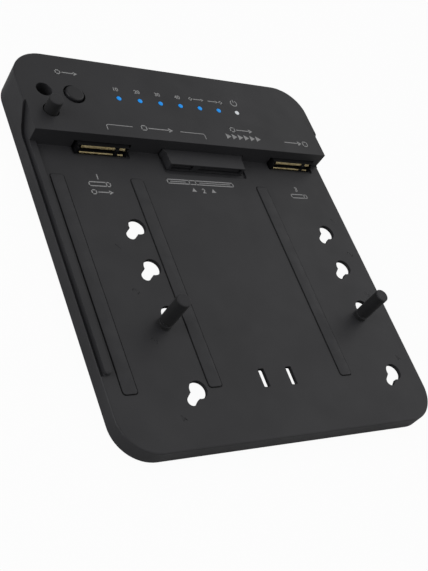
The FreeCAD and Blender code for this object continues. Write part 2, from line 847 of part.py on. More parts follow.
def cut_rear_openings(body):
    """Openings in the rear wall for the inlet, the computer port and the power switch."""
    gap = cell("fit_gap")
    rear = sketch_on(body, "rear_plan", "XZ_Plane", -(half_depth + gap))
    ring(rear, inlet_x, inlet_z(), cell("inlet_nose") + gap * 2)
    reach = (cell("port_width") - cell("port_height")) / 2
    obround(rear, (port_x - reach, port_z()), (port_x + reach, port_z()), cell("port_height") + gap * 2)
    rectangle(
        rear,
        around(rocker_x, cell("rocker_case_width") + gap * 2),
        around(rocker_z(), cell("rocker_case_height") + gap * 2),
    )
    pocket(body, "rear_openings", rear, cell("wall") + gap * 2, True)


def inlet_z():
    return cover_z + cell("fit_gap") * 2 + cell("inlet_height") / 2


def port_z():
    return board_z + cell("port_height") / 2


def rocker_z():
    return (cover_z + roof_under_z) / 2


def make_cover():
    body = new_body("cover_body")
    gap = cell("fit_gap")
    edge_x = side_inner_x - gap
    plan = sketch_on(body, "cover_plan", "XY_Plane", base_z)
    outline(plan, [
        (-edge_x, partition_y + gap),
        (edge_x, partition_y + gap),
        (edge_x, rear_inner_y - gap, inner_radius - gap),
        (-edge_x, rear_inner_y - gap, inner_radius - gap),
    ])
    pad(body, "cover_plate", plan, cell("cover_thickness"))
    standoffs = sketch_on(body, "standoff_plan", "XY_Plane", cover_z)
    for place in board_screws_at:
        ring(standoffs, *place, cell("standoff_diameter"))
    pad(body, "standoffs", standoffs, cell("standoff_height"))
    holes = sketch_on(body, "cover_hole_plan", "XY_Plane", base_z)
    sinks = sketch_on(body, "cover_sink_plan", "XY_Plane", base_z)
    for place in cover_screws_at:
        ring(holes, *place, cell("screw_shank") + gap * 2)
        ring(sinks, *place, cell("screw_head") + gap * 2)
    pocket(body, "cover_holes", holes, cell("cover_thickness"), True)
    pocket(body, "cover_sinks", sinks, cell("screw_head_height"), True)
    pilots = sketch_on(body, "standoff_pilot_plan", "XY_Plane", board_under_z)
    for place in board_screws_at:
        ring(pilots, *place, cell("board_screw_shank") + cell("slide_gap"))
    pocket(body, "standoff_pilots", pilots, cell("board_screw_length") - cell("board_thickness") + gap)
    seats = sketch_on(body, "rear_foot_seat_plan", "XY_Plane", base_z)
    for place in rear_feet_at:
        ring(seats, *place, cell("foot_diameter") + gap * 2)
    pocket(body, "rear_foot_seats", seats, cell("foot_seat_depth"), True)
    keep("bottom_cover", body)


def make_board():
    body = new_body("board_body")
    gap = cell("fit_gap")
    edge_x = side_inner_x - cell("board_gap")
    front_y = partition_y + cell("board_gap")
    back_y = rear_inner_y - cell("board_gap")
    plan = sketch_on(body, "board_plan", "XY_Plane", board_under_z)
    outline(plan, [
        (-edge_x, front_y),
        (edge_x, front_y),
        (edge_x, back_y, cell("board_corner")),
        (-edge_x, back_y, cell("board_corner")),
    ])
    pad(body, "board_plate", plan, cell("board_thickness"))
    holes = sketch_on(body, "board_hole_plan", "XY_Plane", board_z)
    for place in cover_screws_at:
        ring(holes, *place, cell("boss_diameter") + gap * 4)
    for place in board_screws_at:
        ring(holes, *place, cell("board_screw_shank") + gap * 2)
    pocket(body, "board_holes", holes, cell("board_thickness"))
    notches = sketch_on(body, "board_notch_plan", "XY_Plane", board_z)
    sleeve = cell("storage_bore") / 2 + cell("storage_wall") + gap * 2
    rectangle(
        notches,
        (-side_inner_x, storage_x + sleeve),
        (storage_ys[1] - sleeve, storage_ys[0] + sleeve),
    )
    rectangle(
        notches,
        around(inlet_x, cell("inlet_width") + gap * 2),
        (rear_inner_y - cell("inlet_length") - gap * 2, rear_inner_y),
    )
    rectangle(
        notches,
        around(rocker_x, cell("rocker_case_width") + gap * 2),
        (rear_face_y - cell("rocker_case_length") - gap, rear_inner_y),
    )
    pocket(body, "board_notches", notches, cell("board_thickness"))
    keep("main_board", body)


# Sockets and the drive connector
def socket_columns(x):
    """Left edges of the contacts, and the key's limits, across one card socket."""
    first = x - cell("socket_width") / 2 + cell("contact_row_inset")
    long_row = [first + cell("contact_pitch") * index for index in range(LONG_ROW_CONTACTS)]
    key_low = first + cell("contact_pitch") * LONG_ROW_CONTACTS
    key = (key_low, key_low + cell("socket_key_width"))
    second = key[1] + cell("socket_key_gap")
    short_row = [second + cell("contact_pitch") * index for index in range(SHORT_ROW_CONTACTS)]
    return long_row + short_row, key


def contact(name, xs, ys, zs):
    """A bent contact: its nose starts thin and its upper face climbs to the rear."""
    wedge = doc.addObject("Part::Wedge", name)
    for prop, limit in (
        ("Xmin", xs[0]), ("Xmax", xs[1]), ("X2min", xs[0]), ("X2max", xs[1]),
        ("Ymin", ys[0]), ("Ymax", ys[1]),
        ("Zmin", zs[0]), ("Zmax", zs[0] + cell("contact_nose")), ("Z2min", zs[0]), ("Z2max", zs[1]),
    ):
        tie(wedge, prop, limit)
    return wedge


def make_card_socket(side, x):
    front = head_front_y - cell("socket_reach")
    face = front + cell("contact_depth")
    back = front + cell("socket_depth")
    top = board_z + cell("socket_height")
    mouth_z = around(board_z + cell("socket_mouth_rise"), cell("socket_mouth"))
    wide = around(x, cell("socket_width"))
    inside = (wide[0] + cell("socket_end_wall"), wide[1] - cell("socket_end_wall"))
    columns, key = socket_columns(x)
    lower_row = (mouth_z[0] - cell("contact_height"), mouth_z[0])
    upper_row = (mouth_z[1], mouth_z[1] + cell("contact_height"))
    shell = block(f"socket_shell_{side}", wide, (front, back), (board_z, top))
    lip = front + cell("socket_lip_set_back")
    upper_ys = (lip, lip + cell("contact_depth"))
    mouth = block(
        f"socket_mouth_{side}", inside, (front, front + cell("socket_mouth_depth")), mouth_z
    )
    set_back = block(f"socket_set_back_{side}", wide, (front, lip), (mouth_z[1], top))
    upper_seat = block(f"socket_upper_seat_{side}", inside, upper_ys, upper_row)
    lower_seat = block(f"socket_lower_seat_{side}", inside, (front, face), lower_row)
    hollow = cut(f"socket_hollow_{side}", shell, [mouth, set_back, upper_seat, lower_seat])
    lower_rib = block(f"socket_lower_key_{side}", key, (front, face), (board_z, mouth_z[1]))
    upper_rib = block(f"socket_upper_key_{side}", key, (lip, upper_ys[1]), (mouth_z[0], top))
    keep(f"card_socket_{side}", fuse(f"socket_{side}", [hollow, lower_rib, upper_rib]))
    pins = []
    for index, low_x in enumerate(columns):
        spread = (low_x, low_x + cell("contact_width"))
        pins.append(contact(f"contact_{side}_upper_{index}", spread, upper_ys, upper_row))
        pins.append(contact(f"contact_{side}_lower_{index}", spread, (front, face), lower_row))
    keep(f"card_contacts_{side}", group(f"contacts_{side}", pins))


def make_drive_connector():
    x = connector_x
    front = head_front_y - cell("connector_reach")
    back = front + cell("connector_depth")
    top = board_z + cell("connector_height")
    half_front = cell("connector_width") / 2
    half_waist = half_front + cell("connector_draft")
    half_root = cell("connector_root_width") / 2
    waist_y = front + cell("connector_flare_start")
    root_y = waist_y + cell("connector_flare_length")
    body = new_body("connector_body")
    plan = sketch_on(body, "connector_plan", "XY_Plane", board_z)
    outline(plan, [
        (x - half_front, front),
        (x + half_front, front),
        (x + half_waist, waist_y),
        (x + half_root, root_y),
        (x + half_root, back),
        (x - half_root, back),
        (x - half_root, root_y),
        (x - half_waist, waist_y),
    ])
    pad(body, "connector_block", plan, cell("connector_height"))
    face = sketch_on(body, "connector_face", "XZ_Plane", -front)
    left = x - half_front + cell("connector_wall")
    data = (left, left + cell("connector_data_width"))
    power = (data[1] + cell("connector_key_width"), x + half_front - cell("connector_wall"))
    mouth_z = (top - cell("connector_roof") - cell("connector_mouth"), top - cell("connector_roof"))
    rectangle(face, data, mouth_z)
    rectangle(face, power, mouth_z)
    pocket(body, "connector_mouths", face, cell("connector_mouth_depth"))
    tongue_z = around((mouth_z[0] + mouth_z[1]) / 2, cell("tongue_thickness"))
    tongue_face = sketch_on(
        body, "tongue_face", "XZ_Plane", -(front + cell("connector_mouth_depth"))
    )
    tongues = []
    for low, high in (data, power):
        span = (low + cell("tongue_side_gap"), high - cell("tongue_side_gap"))
        tongues.append(span)
        rectangle(tongue_face, span, tongue_z)
    pad(body, "tongues", tongue_face, cell("connector_mouth_depth") - cell("tongue_side_gap"))
    keep("drive_connector", body)
    pins = []
    contact_z = (tongue_z[1], tongue_z[1] + cell("drive_contact_height"))
    reach = (front + cell("tongue_side_gap") * 2, front + cell("connector_mouth_depth"))
    rows = (("data", tongues[0], DATA_CONTACTS), ("power", tongues[1], POWER_CONTACTS))
    for label, span, count in rows:
        margin = (span[1] - span[0] - cell("drive_contact_pitch") * (count - 1)) / 2
        for index in range(count):
            centre = span[0] + margin + cell("drive_contact_pitch") * index
            name = f"drive_contact_{label}_{index}"
            pins.append(block(name, around(centre, cell("drive_contact_width")), reach, contact_z))
    keep("drive_contacts", group("drive_contact_group", pins))


# Rubber strips, feet and pins
def make_strips():
    floor = deck_z - cell("strip_seat_depth")
    for side, x in zip(("left", "middle", "right"), strip_xs):
        body = new_body(f"strip_body_{side}")
        plan = sketch_on(body, f"strip_plan_{side}", "XY_Plane", floor)
        rectangle(plan, around(x, cell("strip_width")), strip_ys, cell("strip_corner"))
        thickness = cell("strip_seat_depth") + cell("strip_height")
        pad(body, f"strip_{side}", plan, thickness)
        keep(f"grip_strip_{side}", body)


def make_feet():
    feet = []
    for index, place in enumerate(front_feet_at + rear_feet_at):
        foot = rod(
            f"foot_{index}",
            *place,
            Size(0.0, "0"),
            cell("foot_diameter"),
            cell("foot_height") + cell("foot_seat_depth"),
        )
        feet.append(foot)
    keep("rubber_feet", group("feet", feet))


def make_pin(name, x, y, bottom_z):
    """A rubber card pin: flange, neck, collar, card groove and a long crowned shaft."""
    body = new_body(f"{name}_body")
    shaft = cell("pin_diameter") / 2
    neck = cell("pin_neck") / 2
    flange = cell("pin_flange") / 2
    levels = [Size(0.0, "0")]
    for step in (
        cell("pin_flange_height"),
        cell("deck_skin") + cell("slide_gap") * 2,
        cell("pin_collar_height"),
        cell("pin_groove_height"),
    ):
        levels.append(levels[-1] + step)
    top = cell("pin_flange_height") + cell("deck_skin") + cell("slide_gap") + cell("pin_height")
    profile = sketch_on(body, f"{name}_profile", "XZ_Plane")
    outline(profile, [
        (Size(0.0, "0"), levels[0]),
        (flange, levels[0]),
        (flange, levels[1]),
        (neck, levels[1]),
        (neck, levels[2]),
        (shaft, levels[2]),
        (shaft, levels[3]),
        (neck, levels[3]),
        (neck, levels[4]),
        (shaft, levels[4]),
        (shaft, top, cell("pin_crown")),
        (Size(0.0, "0"), top),
    ])
    turned = body.newObject("PartDesign::Revolution", f"{name}_turned")
    turned.Profile = profile
    turned.ReferenceAxis = (profile, ["V_Axis"])
    turned.Angle = 360
    for letter, place in (("x", x), ("y", y), ("z", bottom_z)):
        tie(body, f"Placement.Base.{letter}", place)
    keep(name, body)


def make_pins():
    seat_z = deck_under_z - cell("slide_gap") - cell("pin_flange_height")
    pin_y = card_edge_y - cell("card_length_standard")
    make_pin("card_pin_left", left_socket_x, pin_y, seat_z)
    make_pin("card_pin_right", right_socket_x, pin_y, seat_z)
    make_pin("spare_pin", storage_x, storage_ys[1], cover_z + cell("pivot_gap"))


# Lights, the key and its switch
def make_lights():
    gap = cell("slide_gap")
    led_top = board_z + cell("led_height")
    foot_z = led_top + gap
    bar_z = board_z + cell("carrier_lift")
    bar_zs = (bar_z, bar_z + cell("carrier_height"))
    bar_ys = around(light_y, cell("carrier_width"))
    pipes = [
        rod(f"pipe_{index}", x, light_y, foot_z, cell("light_diameter"), head_z - foot_z)
        for index, x in enumerate(light_xs)
    ]
    margin = cell("carrier_width") / 2
    bar = block("pipe_bar", (light_xs[0] - margin, light_xs[-2] + margin), bar_ys, bar_zs)
    keep("progress_light_pipes", fuse("progress_pipes", [bar] + pipes[:-1]))
    collar = block("power_pipe_collar", around(light_xs[-1], cell("carrier_width")), bar_ys, bar_zs)
    keep("power_light_pipe", fuse("power_pipe", [collar, pipes[-1]]))
    chips = [
        block(
            f"led_{index}",
            around(x, cell("led_length")),
            around(light_y, cell("led_width")),
            (board_z, led_top),
        )
        for index, x in enumerate(light_xs)
    ]
    keep("status_leds", group("leds", chips))


def make_key():
    gap = cell("slide_gap")
    top = head_z + cell("key_proud")
    plunger_top = board_z + cell("switch_height") + cell("plunger_proud")
    flange_top = roof_under_z - gap
    flange_low = flange_top - cell("key_flange_height")
    body = new_body("key_body")
    profile = sketch_on(body, "key_profile", "XZ_Plane")
    zero = Size(0.0, "0")
    outline(profile, [
        (zero, plunger_top),
        (cell("key_stem") / 2, plunger_top),
        (cell("key_stem") / 2, flange_low),
        (cell("key_flange") / 2, flange_low),
        (cell("key_flange") / 2, flange_top),
        (cell("key_diameter") / 2, flange_top),
        (cell("key_diameter") / 2, top, cell("key_crown")),
        (zero, top),
    ])
    turned = body.newObject("PartDesign::Revolution", "key_turned")
    turned.Profile = profile
    turned.ReferenceAxis = (profile, ["V_Axis"])
    turned.Angle = 360
    tie(body, "Placement.Base.x", key_x)
    tie(body, "Placement.Base.y", key_y)
    keep("clone_button", body)
    switch_top = board_z + cell("switch_height")
    plunger_foot = switch_top - cell("plunger_depth")
    plunger = rod(
        "plunger", key_x, key_y, plunger_foot, cell("plunger_diameter"), plunger_top - plunger_foot
    )
    keep("key_plunger", plunger)
    size = cell("switch_size")
    case = block("switch_case", around(key_x, size), around(key_y, size), (board_z, switch_top))
    well_foot = plunger_foot - cell("key_travel") - gap * 2
    well_diameter = cell("plunger_diameter") + gap * 2
    well = rod("switch_well", key_x, key_y, well_foot, well_diameter, switch_top - well_foot)
    keep("key_switch", cut("switch", case, [well]))


# Rear ports and the power switch
def make_inlet():
    x = inlet_x
    z = inlet_z()
    back = rear_inner_y - cell("fit_gap")
    front = back - cell("inlet_length")
    case = block(
        "inlet_case", around(x, cell("inlet_width")), (front, back), around(z, cell("inlet_height"))
    )
    root = front + cell("inlet_nose_root")
    nose = rod("inlet_nose_rod", x, root, z, cell("inlet_nose"), rear_face_y - root, "y")
    bore_start = rear_face_y - cell("inlet_bore_depth")
    bore = rod("inlet_bore_rod", x, bore_start, z, cell("inlet_bore"), cell("inlet_bore_depth"), "y")
    keep("dc_inlet", cut("inlet", fuse("inlet_outside", [case, nose]), [bore]))
    pin_length = cell("inlet_bore_depth") - cell("inlet_pin_inset")
    pin = rod("inlet_pin_rod", x, bore_start, z, cell("inlet_pin"), pin_length, "y")
    keep("dc_inlet_pin", pin)


def make_port():
    x = port_x
    z = port_z()
    front = rear_face_y - cell("port_length")
    body = new_body("port_body")
    reach = (cell("port_width") - cell("port_height")) / 2
    outside = sketch_on(body, "port_outside", "XZ_Plane", -rear_face_y)
    obround(outside, (x - reach, z), (x + reach, z), cell("port_height"))
    pad(body, "port_tube", outside, cell("port_length"))
    inside = sketch_on(body, "port_inside", "XZ_Plane", -front)
    bore = cell("port_height") - cell("port_shell") * 2
    obround(inside, (x - reach, z), (x + reach, z), bore)
    pocket(body, "port_bore", inside, cell("port_length"))
    keep("data_port_shell", body)
    insert = new_body("port_insert_body")
    plug_width = bore - cell("pivot_gap") * 2
    root = sketch_on(insert, "port_root", "XZ_Plane", -front)
    obround(root, (x - reach, z), (x + reach, z), plug_width)
    pad(insert, "port_root_block", root, cell("port_back"), True)
    blade = sketch_on(insert, "port_blade", "XZ_Plane", -front)
    rectangle(
        blade,
        around(x, cell("port_tongue_width")),
        around(z, cell("port_tongue_thickness")),
    )
    pad(insert, "port_tongue", blade, cell("port_length") - cell("port_tongue_inset"), True)
    keep("data_port_tongue", insert)


def make_power_switch():
    x = rocker_x
    z = rocker_z()
    gap = cell("slide_gap")
    front = rear_face_y - cell("rocker_case_length")
    wall = cell("rocker_case_wall")
    pivot_y = rear_face_y - cell("rocker_pivot_inset")
    case = block(
        "rocker_case",
        around(x, cell("rocker_case_width")),
        (front, rear_face_y),
        around(z, cell("rocker_case_height")),
    )
    room = block(
        "rocker_room",
        around(x, cell("rocker_case_width") - wall * 2),
        (front + cell("rocker_case_floor"), rear_face_y),
        around(z, cell("rocker_case_height") - wall * 2),
    )
    eye_length = cell("rocker_case_height") - wall
    eye = rod(
        "rocker_eye", x, pivot_y, z - eye_length / 2, cell("trunnion") + cell("pivot_gap") * 2, eye_length
    )
    keep("power_switch_case", cut("rocker_housing", case, [room, eye]))
    zero = Size(0.0, "0")
    height = cell("rocker_case_height") - wall * 2 - gap * 2
    wedge = new_body("rocker_wedge")
    plan = sketch_on(wedge, "rocker_plan", "XY_Plane", -height / 2)
    reach = cell("rocker_radius") + cell("rocker_overrun")
    lift = cell("rocker_face") + reach * tangent(cell("rocker_tilt"))
    outline(plan, [
        (-reach, -cell("rocker_back")),
        (reach, -cell("rocker_back")),
        (reach, lift),
        (zero, cell("rocker_face")),
        (-reach, lift),
    ])
    pad(wedge, "rocker_pad", plan, height)
    disc = rod("rocker_disc", zero, zero, -height / 2, cell("rocker_radius") * 2, height)
    paddle = doc.addObject("Part::Common", "rocker_paddle")
    paddle.Base = wedge
    paddle.Tool = disc
    axle_length = eye_length - gap * 2
    axle = rod("rocker_axle", zero, zero, -axle_length / 2, cell("trunnion"), axle_length)
    rocker = fuse("rocker", [paddle, axle])
    rocker.Placement.Rotation = FreeCAD.Rotation(FreeCAD.Vector(0, 0, 1), -cell("rocker_tilt").value)
    for letter, place in (("x", x), ("y", pivot_y), ("z", z)):
        tie(rocker, f"Placement.Base.{letter}", place)
    keep("power_rocker", rocker)


# Fasteners and what stands on the board
def make_screws():
    screws = []
    for index, (x, y) in enumerate(cover_screws_at):
        head = rod(f"screw_head_{index}", x, y, base_z, cell("screw_head"), cell("screw_head_height"))
        shank_length = cell("deck_height") - cell("deck_skin") - cell("fit_gap") * 4
        shank = rod(f"screw_shank_{index}", x, y, base_z, cell("screw_shank"), shank_length)
        screws.append(fuse(f"cover_screw_{index}", [head, shank]))
    keep("cover_screws", group("cover_screw_group", screws))
    small = []
    for index, (x, y) in enumerate(board_screws_at):
        head_height = cell("board_screw_head_height")
        head = rod(f"small_head_{index}", x, y, board_z, cell("board_screw_head"), head_height)
        foot = board_z - cell("board_screw_length")
        shank = rod(
            f"small_shank_{index}", x, y, foot, cell("board_screw_shank"), cell("board_screw_length")
        )
        small.append(fuse(f"board_screw_{index}", [head, shank]))
    keep("board_screws", group("board_screw_group", small))


def chip(name, x, y, side, height):
    return block(name, around(x, side), around(y, side), (board_z, board_z + height))


def make_board_parts():
    row_y = head_inner_y + cell("chip_row_inset")
    size = cell("controller_size")
    keep("controller_chip", chip("controller", connector_x, row_y, size, cell("controller_height")))
    bridge_xs = (
        left_socket_x - cell("bridge_left_gap"),
        connector_x + cell("bridge_middle_gap"),
        right_socket_x + cell("bridge_right_gap"),
    )
    bridges = [
        chip(f"bridge_{index}", x, row_y, cell("bridge_size"), cell("bridge_height"))
        for index, x in enumerate(bridge_xs)
    ]
    keep("bridge_chips", group("bridges", bridges))
    coil_y = rear_inner_y - cell("coil_rear_inset")
    coils = [
        chip(
            f"coil_{index}",
            cell("coil_pitch") * index - cell("coil_left_offset"),
            coil_y,
            cell("coil_size"),
            cell("coil_height"),
        )
        for index in range(COIL_COUNT)
    ]
    keep("power_coils", group("coils", coils))
    cans = [
        rod(
            f"can_{index}",
            cell("can_offset") + cell("can_pitch") * index,
            coil_y,
            board_z,
            cell("can_diameter"),
            cell("can_height"),
        )
        for index in range(CAN_COUNT)
    ]
    keep("capacitors", group("cans", cans))


make_housing()
make_cover()
make_board()
make_card_socket("left", left_socket_x)
make_card_socket("right", right_socket_x)
make_drive_connector()
make_strips()
make_feet()
make_pins()
make_lights()
make_key()
make_inlet()
make_port()
make_power_switch()
make_screws()
make_board_parts()
doc.recompute()

faults = []
for item in doc.Objects:
    if "Invalid" in item.State or "Error" in item.State:
        faults.append(f"{item.Name}: {item.State}")
for item in nodes:
    if item.Shape.isNull() or not item.Shape.isValid():
        faults.append(f"{item.Label}: shape is not valid")
if faults:
    raise RuntimeError("; ".join(faults))

os.makedirs("parts", exist_ok=True)
for item in nodes:
    item.Shape.exportStep(f"parts/{item.Label}.step")
    print(item.Label, len(item.Shape.Solids), round(item.Shape.Volume, 1))
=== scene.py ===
import math

import bpy
from mathutils import Matrix, Vector


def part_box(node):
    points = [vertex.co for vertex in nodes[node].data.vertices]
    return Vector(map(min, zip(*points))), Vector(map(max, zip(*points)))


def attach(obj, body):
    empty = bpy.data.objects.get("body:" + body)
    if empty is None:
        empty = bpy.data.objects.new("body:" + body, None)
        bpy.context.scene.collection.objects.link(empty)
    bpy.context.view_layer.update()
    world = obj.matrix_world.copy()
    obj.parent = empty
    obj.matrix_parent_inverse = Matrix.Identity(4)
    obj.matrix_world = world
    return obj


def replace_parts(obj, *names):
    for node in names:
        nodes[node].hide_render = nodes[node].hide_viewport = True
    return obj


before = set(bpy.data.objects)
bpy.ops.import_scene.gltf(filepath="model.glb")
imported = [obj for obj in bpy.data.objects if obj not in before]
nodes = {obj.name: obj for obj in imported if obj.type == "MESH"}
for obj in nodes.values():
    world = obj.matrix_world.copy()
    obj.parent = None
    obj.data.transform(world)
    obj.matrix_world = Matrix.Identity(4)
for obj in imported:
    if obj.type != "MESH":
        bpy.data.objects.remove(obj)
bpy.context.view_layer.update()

MM = 0.001


def mm(*lengths):
    """Lengths in millimetres, as metres."""
    return tuple(length * MM for length in lengths)


# Places that the solids give: the tops of head and deck, and the row of lights
head_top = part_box("progress_light_pipes")[1].z
strip_rise = 0.6 * MM
deck_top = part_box("grip_strip_left")[1].z - strip_rise
lamp_low, lamp_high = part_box("progress_light_pipes")
lamp_y = (lamp_low.y + lamp_high.y) / 2
white_low, white_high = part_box("power_light_pipe")
white_x = (white_low.x + white_high.x) / 2
lamp_radius = (lamp_high.y - lamp_low.y) / 2
blue_lamp_count = 6
lamp_pitch = (white_x - lamp_low.x - lamp_radius) / blue_lamp_count


def lamp_x(index):
    """The place of a light in the row, counted from the left."""
    return lamp_low.x + lamp_radius + lamp_pitch * index


# Sizes of the prints; stroke weights are in the font's own units
ink_lift = 0.02 * MM
ink_thickness = 0.02 * MM
bar_width = 0.46 * MM
fine_bar_width = 0.36 * MM
bracket_line = 0.35 * MM
bracket_corner = 1.0 * MM
small_number_height = 2.0 * MM
slot_number_height = 2.5 * MM
plug_number_height = 2.4 * MM
pin_number_height = 2.8 * MM
bold_stroke = 0.035
thin_stroke = -0.01

# Sizes of the pieces that are fitted here
lens_diameter = 2.0 * MM
lens_rise = 0.22 * MM
lens_foot = 0.05 * MM
strip_stand = 0.35 * MM
strip_corner = 1.0 * MM
strip_edge = 0.2 * MM
contact_pitch = 0.5 * MM
contact_width = 0.3 * MM
contact_height = 0.8 * MM
contact_set_back = 0.6 * MM
long_row_count = 29
short_row_count = 5
screw_head = 4.4 * MM
screw_head_height = 0.9 * MM
screw_shank = 2.2 * MM
shank_taper = 0.42
front_screw_xs = (-21.0 * MM, 34.0 * MM)
recess_length = 2.3 * MM
recess_width = 0.5 * MM
recess_depth = 0.55 * MM
recess_turn = math.pi / 7
rolled_edge = 0.2 * MM
smooth_angle = math.radians(40)
hair = 0.001 * MM

# Noise lies mostly between these two values, so colours and roughness spread between them
noise_low, noise_high = 0.3, 0.7


def linear(hex_colour):
    """An sRGB colour such as 2B2C2E as the linear values that a shader takes."""
    values = [int(hex_colour[start:start + 2], 16) / 255 for start in (0, 2, 4)]
    return tuple(v / 12.92 if v <= 0.04045 else ((v + 0.055) / 1.055) ** 2.4 for v in values) + (1.0,)


def per_grain(width_mm):
    """The noise scale that makes one grain as wide as this, in Object coordinates."""
    return 1.0 / (width_mm * MM)


def add(tree, kind, inputs, **settings):
    """Adds a node, sets it up and feeds each input with a value or with another node's output."""
    node = tree.nodes.new(kind)
    for name, value in settings.items():
        setattr(node, name, value)
    for name, value in inputs.items():
        if isinstance(value, bpy.types.NodeSocket):
            tree.links.new(value, node.inputs[name])
        else:
            node.inputs[name].default_value = value
    return node


def new_material(name, **shader_values):
    """A material with its Principled shader; words such as Specular_IOR_Level name its sockets."""
    material = bpy.data.materials.new(name)
    material.use_nodes = True
    tree = material.node_tree
    shader = tree.nodes["Principled BSDF"]
    for word, value in shader_values.items():
        shader.inputs[word.replace("_", " ")].default_value = value
    place = add(tree, "ShaderNodeTexCoord", {})
    return material, tree, shader, place.outputs["Object"]


def two_tone(tree, place, width_mm, dark, light, detail=2.0):
    """Soft clouds between two colours, each cloud about as wide as given."""
    clouds = add(tree, "ShaderNodeTexNoise", {
        "Vector": place, "Scale": per_grain(width_mm), "Detail": detail,
    })
    ramp = add(tree, "ShaderNodeValToRGB", {"Fac": clouds.outputs["Fac"]})
    for stop, position, colour in zip(ramp.color_ramp.elements, (noise_low, noise_high), (dark, light)):
        stop.position = position
        stop.color = linear(colour)
    return ramp.outputs["Color"]


def uneven_roughness(tree, place, width_mm, low, high):
    """Roughness that drifts between two values over patches of this width."""
    patches = add(tree, "ShaderNodeTexNoise", {
        "Vector": place, "Scale": per_grain(width_mm), "Detail": 3.0,
    })
    spread = add(tree, "ShaderNodeMapRange", {
        "Value": patches.outputs["Fac"], "From Min": noise_low, "From Max": noise_high,
        "To Min": low, "To Max": high,
    })
    return spread.outputs["Result"]


def grained(tree, place, width_mm, depth_mm, under=None):
    """A bump of grains, as spark erosion leaves them in a mould, over another normal if one is given."""
    grains = add(tree, "ShaderNodeTexNoise", {
        "Vector": place, "Scale": per_grain(width_mm), "Detail": 2.0, "Roughness": 0.6,
    })
    inputs = {"Height": grains.outputs["Fac"], "Distance": depth_mm * MM}
    if under is not None:
        inputs["Normal"] = under
    return add(tree, "ShaderNodeBump", inputs).outputs["Normal"]


def softened_edges(tree, radius_mm):
    """A normal that rounds every edge a little, as a moulded or pressed edge is rounded."""
    return add(tree, "ShaderNodeBevel", {"Radius": radius_mm * MM}, samples=6).outputs["Normal"]


def painted_wall_shade(tree, colour, share):
    """Darkens the walls of a piece to a share of its colour: painted shade, for the shade in the gaps
    round it.
    """
    steep, nearly_level = 0.3, 0.9
    normal = add(tree, "ShaderNodeNewGeometry", {}).outputs["Normal"]
    upward = add(tree, "ShaderNodeSeparateXYZ", {"Vector": normal})
    faces_up = add(tree, "ShaderNodeMapRange", {
        "Value": upward.outputs["Z"], "From Min": steep, "From Max": nearly_level,
        "To Min": share, "To Max": 1.0,
    })
    shaded = add(tree, "ShaderNodeVectorMath", {
        0: colour, 1: faces_up.outputs["Result"],
    }, operation="MULTIPLY")
    return shaded.outputs["Vector"]


def moulded_plastic(name, dark, light, rough, grain_mm=0.32, depth_mm=0.012, edge_mm=0.25, level=0.24):
    """Plastic from a spark-eroded mould: satin, a little cloudy in tone, with a fine even grain.

    The real grain is about 0.05 mm wide; it is drawn coarser, so that it shows.
    """
    cloud_mm = 24.0
    patch_mm = 9.0
    drift = 0.03
    material, tree, shader, place = new_material(name, IOR=1.53, Specular_IOR_Level=level)
    colour = two_tone(tree, place, cloud_mm, dark, light)
    tree.links.new(colour, shader.inputs["Base Color"])
    roughness = uneven_roughness(tree, place, patch_mm, rough - drift, rough + drift)
    tree.links.new(roughness, shader.inputs["Roughness"])
    normal = grained(tree, place, grain_mm, depth_mm, under=softened_edges(tree, edge_mm))
    tree.links.new(normal, shader.inputs["Normal"])
    return material


def soft_rubber(name, dark, light, rough, grain_mm, edge_mm, wall_shade_share=1.0):
    """Moulded silicone rubber: matt, a little dusty, and smoother than the plastic beside it; its walls
    can be darkened to a share of its colour as painted shade.
    """
    dust_mm = 7.0
    patch_mm = 4.0
    drift = 0.06
    grain_depth_mm = 0.01
    material, tree, shader, place = new_material(
        name, IOR=1.43, Specular_IOR_Level=0.3, Sheen_Weight=0.05, Sheen_Roughness=0.5,
    )
    # Steep walls are darkened to a share of the colour here: painted shade
    colour = painted_wall_shade(tree, two_tone(tree, place, dust_mm, dark, light, detail=4.0), wall_shade_share)
    tree.links.new(colour, shader.inputs["Base Color"])
    roughness = uneven_roughness(tree, place, patch_mm, rough - drift, rough + drift)
    tree.links.new(roughness, shader.inputs["Roughness"])
    normal = grained(tree, place, grain_mm, grain_depth_mm, under=softened_edges(tree, edge_mm))
    tree.links.new(normal, shader.inputs["Normal"])
    return material


def plated_metal(name, dark, light, rough, brushed_mm):
    """Plated or drawn metal: fine lines from rolling or brushing, under a plating that isn't quite even.

    Real lines are a few hundredths of a millimetre apart; they are drawn coarser, so that they show.
    """
    stain_mm = 1.6
    patch_mm = 1.2
    line_depth_mm = 0.004
    edge_mm = 0.06
    along_the_lines = 0.08
    smoother, rougher = 0.06, 0.08
    material, tree, shader, place = new_material(name, Metallic=1.0)
    tree.links.new(two_tone(tree, place, stain_mm, dark, light, detail=3.0), shader.inputs["Base Color"])
    roughness = uneven_roughness(tree, place, patch_mm, rough - smoother, rough + rougher)
    tree.links.new(roughness, shader.inputs["Roughness"])
    stretched = add(tree, "ShaderNodeMapping", {"Vector": place, "Scale": (along_the_lines, 1.0, 1.0)})
    edges = softened_edges(tree, edge_mm)
    normal = grained(tree, stretched.outputs["Vector"], brushed_mm, line_depth_mm, under=edges)
    tree.links.new(normal, shader.inputs["Normal"])
    return material


def lit_lens(name, tint, rim, core, strength):
    """Frosted polycarbonate with its light on: tinted, with a glow that varies from rim to core colour."""
    glow_mm = 0.5
    material, tree, shader, place = new_material(name, IOR=1.58, Roughness=0.3, Specular_IOR_Level=0.15)
    shader.inputs["Base Color"].default_value = linear(tint)
    tree.links.new(two_tone(tree, place, glow_mm, rim, core, detail=1.0), shader.inputs["Emission Color"])
    shader.inputs["Emission Strength"].default_value = strength
    return material


